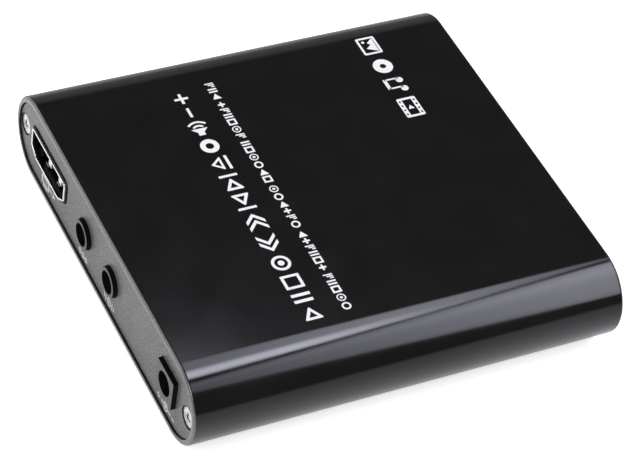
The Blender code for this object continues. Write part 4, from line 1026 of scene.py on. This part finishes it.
def make_print():
    rows = bmesh.new()
    for loops in transport_row(-0.0288, 0.0266, 0.0127, 0.0033, 0.00052):
        flat_shape(rows, loops)
    show("printed_controls_row", rows, "ink")

    signs = bmesh.new()
    u, low, size = -0.0285, 0.0075, 0.0016
    for index in range(32):
        if index % 6 == 5:
            u += size * 0.35
        kind = (index * 5 + index // 6) % 7
        for loops in small_sign(kind, u, low, size):
            flat_shape(signs, loops)
        u += size * SIGN_WIDTHS[kind] + size * 0.22
    show("printed_sign_row", signs, "ink")

    media = bmesh.new()
    low, size = -0.0249, 0.0036
    u = 0.0094
    middle = low + size / 2
    width = size * 1.35
    holes = [
        panel(u + width * (0.17 + 0.22 * index), low + size * part, size * 0.12, size * 0.1, 0.00005, 2)
        for index in range(4)
        for part in (0.12, 0.88)
    ]
    window = panel(u + width / 2, middle, width * 0.8, size * 0.5, 0.0001, 2)
    flat_shape(media, [panel(u + width / 2, middle, width, size, 0.0003, 3), *holes, window])
    flat_shape(media, triangle(u + width * 0.41, low + size * 0.34, size * 0.32)[0])
    u += width + size * 0.45
    for shift in (0.0, 0.62):
        flat_shape(media, disc(u + size * (0.2 + shift), low + size * 0.17, size * 0.19)[0])
        flat_shape(media, bar(u + size * (0.29 + shift), low + size * 0.17, size * 0.1, size * 0.75)[0])
    flat_shape(media, bar(u + size * 0.29, low + size * 0.82, size * 0.72, size * 0.18)[0])
    u += size * 1.45
    flat_shape(media, ring(u + size / 2, middle, size / 2, size * 0.16)[0])
    u += size * 1.45
    picture = panel(u + size * 0.62, middle, size * 1.24, size, 0.0003, 3)
    flat_shape(media, [picture, panel(u + size * 0.62, middle, size * 1.0, size * 0.76, 0.0001, 2)])
    hills = [(0.14, 0.16), (1.1, 0.16), (0.82, 0.52), (0.68, 0.38), (0.44, 0.7)]
    flat_shape(media, [[(u + size * across, low + size * rise) for across, rise in hills]])
    flat_shape(media, disc(u + size * 0.92, low + size * 0.7, size * 0.08)[0])
    show("printed_media_row", media, "ink")


def make_port_marks():
    """Generic signs under the rear sockets: a screen, three plugs, a digital signal and a polarity sign."""
    marks = bmesh.new()
    low, grow = 0.0034, 1.3

    def mark(x, loops):
        placed = [[(x + u * grow, low + v * grow) for u, v in loop] for loop in loops]
        prism(marks, "Y", placed, *span(PLATE_FACE_Y, INK_HEIGHT))

    screen_x, signal_x = HDMI_X + 0.0012, JACK_X["coax_jack"]
    mark(screen_x, [panel(0, 0.0006, 0.0026, 0.0014, 0.00015, 2), rectangle(0, 0.0006, 0.0020, 0.0008)])
    mark(screen_x, bar(-0.0007, -0.0005, 0.0014, 0.00025)[0])
    mark(HDMI_X - 0.0018, bar(0.0, 0.0005, 0.0011, 0.00025)[0])
    mark(HDMI_X - 0.0032, triangle(0.0, 0.00015, 0.00095, -1)[0])
    for shift in (-0.0010, 0.0, 0.0010):
        mark(JACK_X["av_jack"] + shift * grow, ring(0.0, 0.0, 0.00042, 0.00019)[0])
    mark(signal_x, ring(0.0, 0.0001, 0.00062, 0.00040)[0])
    mark(signal_x, disc(0.0, 0.0001, 0.0002)[0])
    for way in (-1, 1):
        for away, height in ((0.0010, 0.0010), (0.0015, 0.0006)):
            mark(signal_x, [rectangle(way * away, 0.0001, 0.00025, height)])
    mark(DC_X, disc(0.0, 0.0, 0.00026)[0])
    opening = math.radians(35)
    mark(DC_X, [crescent(0.0, 0.0, 0.00070, 0.00046, opening, 2 * math.pi - opening, 24)])
    for start, width in ((0.00022, 0.0012), (-0.0016, 0.00098), (0.0017, 0.0009), (-0.0027, 0.0008)):
        mark(DC_X, bar(start, -0.00012, width, 0.00024)[0])
    mark(DC_X, [rectangle(0.00215, 0.0, 0.00024, 0.0009)])
    show("printed_port_marks", marks, "faint_ink")


KEPT_NODES = {
    "grey_plastic": ["hdmi_insulator"],
    "white_plastic": ["usb_insulator", "sd_carriage"],
    "brass": ["av_jack_leaf", "coax_jack_leaf", "dc_socket_leaf"],
    "black_plastic": ["sd_slot_base", "ir_receiver"],
    "nickel": ["sd_slot_cover", "crystal"],
    "clear_plastic": ["status_led"],
    "board": ["main_board"],
    "chip": [
        "main_chip", "memory_chip_front", "memory_chip_rear", "flash_chip", "audio_chip", "voltage_regulator",
    ],
    "pad": ["thermal_pad"],
    "aluminium": ["heat_sink"],
    "ferrite": ["power_inductor_front", "power_inductor_rear"],
    "capacitor": ["capacitor_front", "capacitor_middle", "capacitor_rear"],
}


def dress_nodes():
    for look, names in KEPT_NODES.items():
        for name in names:
            for slot in frame["nodes"][name].material_slots:
                slot.material = LOOKS[look]


def emissive(name, tint, layers):
    """A light card's material. Each layer is how bright it is across the card, and along it."""
    material = bpy.data.materials.new(name)
    graph = Graph(material, "UV", clear=True)

    def curve(axis, stops):
        """A ramp through (position, value) pairs, and the value that its white stands for."""
        peak = max(value for _, value in stops)
        return graph.ramp(graph.axis(axis), [(at, (value / peak,) * 3) for at, value in stops]), peak

    strength = 0.0
    for across, along in layers:
        across_color, across_peak = curve("X", across)
        along_color, along_peak = curve("Y", along)
        both = graph.math("MULTIPLY", across_color, along_color)
        strength = graph.math("ADD", graph.math("MULTIPLY", both, across_peak * along_peak), strength)
    glow = graph.add("Emission", {"Color": (*tint, 1.0), "Strength": strength})
    graph.add("OutputMaterial", {"Surface": glow.outputs["Emission"]})
    return material


def light_card(name, edges, material):
    """A curved card a metre from the tube's left side. Each edge is (y, first degree, last degree)."""
    steps = 16
    mesh = bmesh.new()
    uv = mesh.loops.layers.uv.new("UVMap")
    rows = []
    for y, first, last in edges:
        line = []
        for step in range(steps + 1):
            turn = math.radians(first + (last - first) * step / steps)
            vert = mesh.verts.new((-FLAT + math.cos(turn), y, AXIS_Z + math.sin(turn)))
            line.append((vert, (step / steps, (y - edges[0][0]) / (edges[-1][0] - edges[0][0]))))
        rows.append(line)
    for near, far in zip(rows, rows[1:]):
        for index in range(steps):
            corners = (near[index], near[index + 1], far[index + 1], far[index])
            face = mesh.faces.new([corner[0] for corner in corners])
            for loop, corner in zip(face.loops, corners):
                loop[uv].uv = corner[1]
    data = new_data(name, mesh, closed=False)
    card = link(name, data)
    data.materials.append(material)
    card.visible_camera = False
    card.visible_shadow = False


def make_light():
    lavender = (0.93, 0.94, 1.10)
    # A broad even card with a bright streak along its lower edge
    broad = (
        [(0.0, 0.7), (0.15, 0.9), (0.4, 1.0), (0.9, 1.0), (1.0, 0.8)],
        [
            (0.0, 2.4), (0.24, 2.7), (0.38, 3.6), (0.56, 4.3),
            (0.74, 3.4), (0.83, 2.7), (0.89, 1.6), (1.0, 0.5),
        ],
    )
    streak = (
        [(0.5, 0.0), (0.68, 0.8), (0.82, 1.0), (0.93, 0.7), (1.0, 0.3)],
        [(0.0, 7.0), (0.3, 8.0), (0.38, 8.2), (0.475, 5.2), (0.564, 1.8), (0.655, 0.0)],
    )
    upper_rows = [
        (-0.22, 50, 100), (-0.31, 51, 98), (-0.373, 53.5, 94), (-0.4456, 57, 87), (-0.482, 58, 82.5),
        (-0.5176, 59.6, 76.5), (-0.5535, 61, 70.3), (-0.575, 62, 68.3), (-0.62, 63, 65),
    ]
    light_card("upper_light_card", upper_rows, emissive("upper_card_light", lavender, [broad, streak]))
    lower = (
        [(0.0, 1.0), (0.2, 1.35), (0.5, 1.05), (0.85, 0.95), (1.0, 0.75)],
        [(0.0, 1.0), (0.2, 1.5), (0.35, 2.2), (0.54, 3.2), (0.73, 4.05), (0.88, 4.8), (1.0, 5.2)],
    )
    lower_rows = [
        (-0.24, 112, 126), (-0.31, 107.5, 129.5), (-0.373, 100.5, 135.6), (-0.4456, 91.5, 144.6),
        (-0.5176, 83, 152.6), (-0.575, 75.3, 158.4), (-0.62, 73, 160),
    ]
    light_card("lower_light_card", lower_rows, emissive("lower_card_light", lavender, [lower]))

    for name, place, size, power in (
        ("key_light", (-0.75, 1.05, 1.15), (0.9, 0.9), 13.0),
        ("edge_light", (0.85, 0.95, 0.42), (0.7, 0.35), 2.5),
        ("front_light", (0.25, -1.5, 1.1), (1.2, 0.7), 4.0),
    ):
        lamp = bpy.data.lights.new(name, "AREA")
        lamp.shape = "RECTANGLE"
        lamp.size, lamp.size_y = size
        lamp.energy = power
        made = link(name, lamp)
        made.location = place
        made.rotation_euler = (Vector((0, 0, 0)) - Vector(place)).to_track_quat("-Z", "Y").to_euler()
        made.visible_camera = False


def make_world():
    world = bpy.data.worlds.new("studio")
    bpy.context.scene.world = world
    sky = Graph(world, "Generated", clear=True)
    # Low in the sky the studio's walls are pale, apart from a dark one to the left
    low = sky.level(sky.axis("Z"), 1.0, 0.0, 0.42, 0.6, "SMOOTHSTEP")
    right = sky.level(sky.axis("X"), 0.05, 1.0, -0.75, -0.2, "SMOOTHSTEP")
    seen = sky.math("ADD", sky.math("MULTIPLY", sky.math("MULTIPLY", low, right), 0.27), 0.06)
    even, mirrored, direct = (
        sky.add("Background", {"Color": WHITE, "Strength": strength}).outputs["Background"]
        for strength in (0.33, seen, 1.0)
    )
    rays = sky.add("LightPath", {}).outputs
    lit = sky.add("MixShader", {"Fac": rays["Is Glossy Ray"], 1: even, 2: mirrored}).outputs["Shader"]
    shown = sky.add("MixShader", {"Fac": rays["Is Camera Ray"], 1: lit, 2: direct}).outputs["Shader"]
    sky.add("OutputWorld", {"Surface": shown})


def make_floor():
    mesh = bmesh.new()
    mesh.faces.new([mesh.verts.new((x, y, 0.0)) for x, y in rectangle(0.0, 0.0, 2.8, 2.8)])
    data = new_data("studio_floor", mesh, closed=False)
    floor = link("studio_floor", data)
    made = Surface("studio_floor", 0.9, shine=0.0)
    rays = made.add("LightPath", {}).outputs
    away = made.add("VectorMath", {0: made.place}, operation="LENGTH").outputs["Value"]
    x, y = made.axis("X"), made.axis("Y")
    # The floor is white to the camera all the way out. In reflections it is brightest near the left side:
    # there and in front of the rear plate it glows as painted light, and further out to the sides its colour
    # is painted dark as painted shade
    direct = made.math("MULTIPLY", rays["Is Camera Ray"], made.level(away, 0.6, 0.95, 0.08, 0.6))
    side_glow = made.level(x, 0.0, 0.4, -0.034, -0.037)
    side_glow = made.math("MULTIPLY", side_glow, made.level(x, 0.0, 1.0, -0.065, -0.042))
    plate_glow = made.level(y, 0.0, 0.55, 0.0375, 0.041)
    plate_glow = made.math("MULTIPLY", plate_glow, made.level(y, 0.0, 1.0, 0.35, 0.1))
    mirrored = made.math("MULTIPLY", rays["Is Glossy Ray"], made.math("MAXIMUM", side_glow, plate_glow))
    beside = made.level(x, 0.1, 1.0, -0.04, -0.35)
    beside = made.math("MAXIMUM", beside, made.level(x, 0.0, 0.45, 0.042, 0.06))
    dimmed = made.math("MULTIPLY", rays["Is Glossy Ray"], beside)
    made.color(made.mix(dimmed, (0.86, 0.855, 0.845), (0.10, 0.10, 0.10)))
    made.inputs["Emission Color"].default_value = WHITE
    made.links.new(made.math("MAXIMUM", direct, mirrored), made.inputs["Emission Strength"])
    data.materials.append(made.material)


def make_camera():
    data = bpy.data.cameras.new("photo_view")
    data.lens = 149.098
    data.sensor_fit = "HORIZONTAL"
    data.sensor_width = 36.0
    data.clip_start = 0.01
    camera = link("photo_view", data)
    right = Vector((-0.42258587, -0.89734259, 0.12726924))
    down = Vector((-0.67192521, 0.21595327, -0.70843539))
    forward = Vector((0.60822504, -0.38489020, -0.69420591))
    turn = Matrix((right, -down, -forward)).transposed().to_4x4()
    camera.matrix_world = Matrix.Translation((-0.274429, 0.171785, 0.316975)) @ turn
    bpy.context.scene.camera = camera


make_camera()
make_tube()
make_plates()
make_screws()
make_feet()
make_hdmi()
make_usb()
make_jacks()
make_dc_socket()
make_card_spring()
make_infrared_window()
make_card_contacts()
make_print()
make_port_marks()
dress_nodes()
make_light()
make_world()
make_floor()
bpy.context.scene.view_settings.view_transform = "Standard"
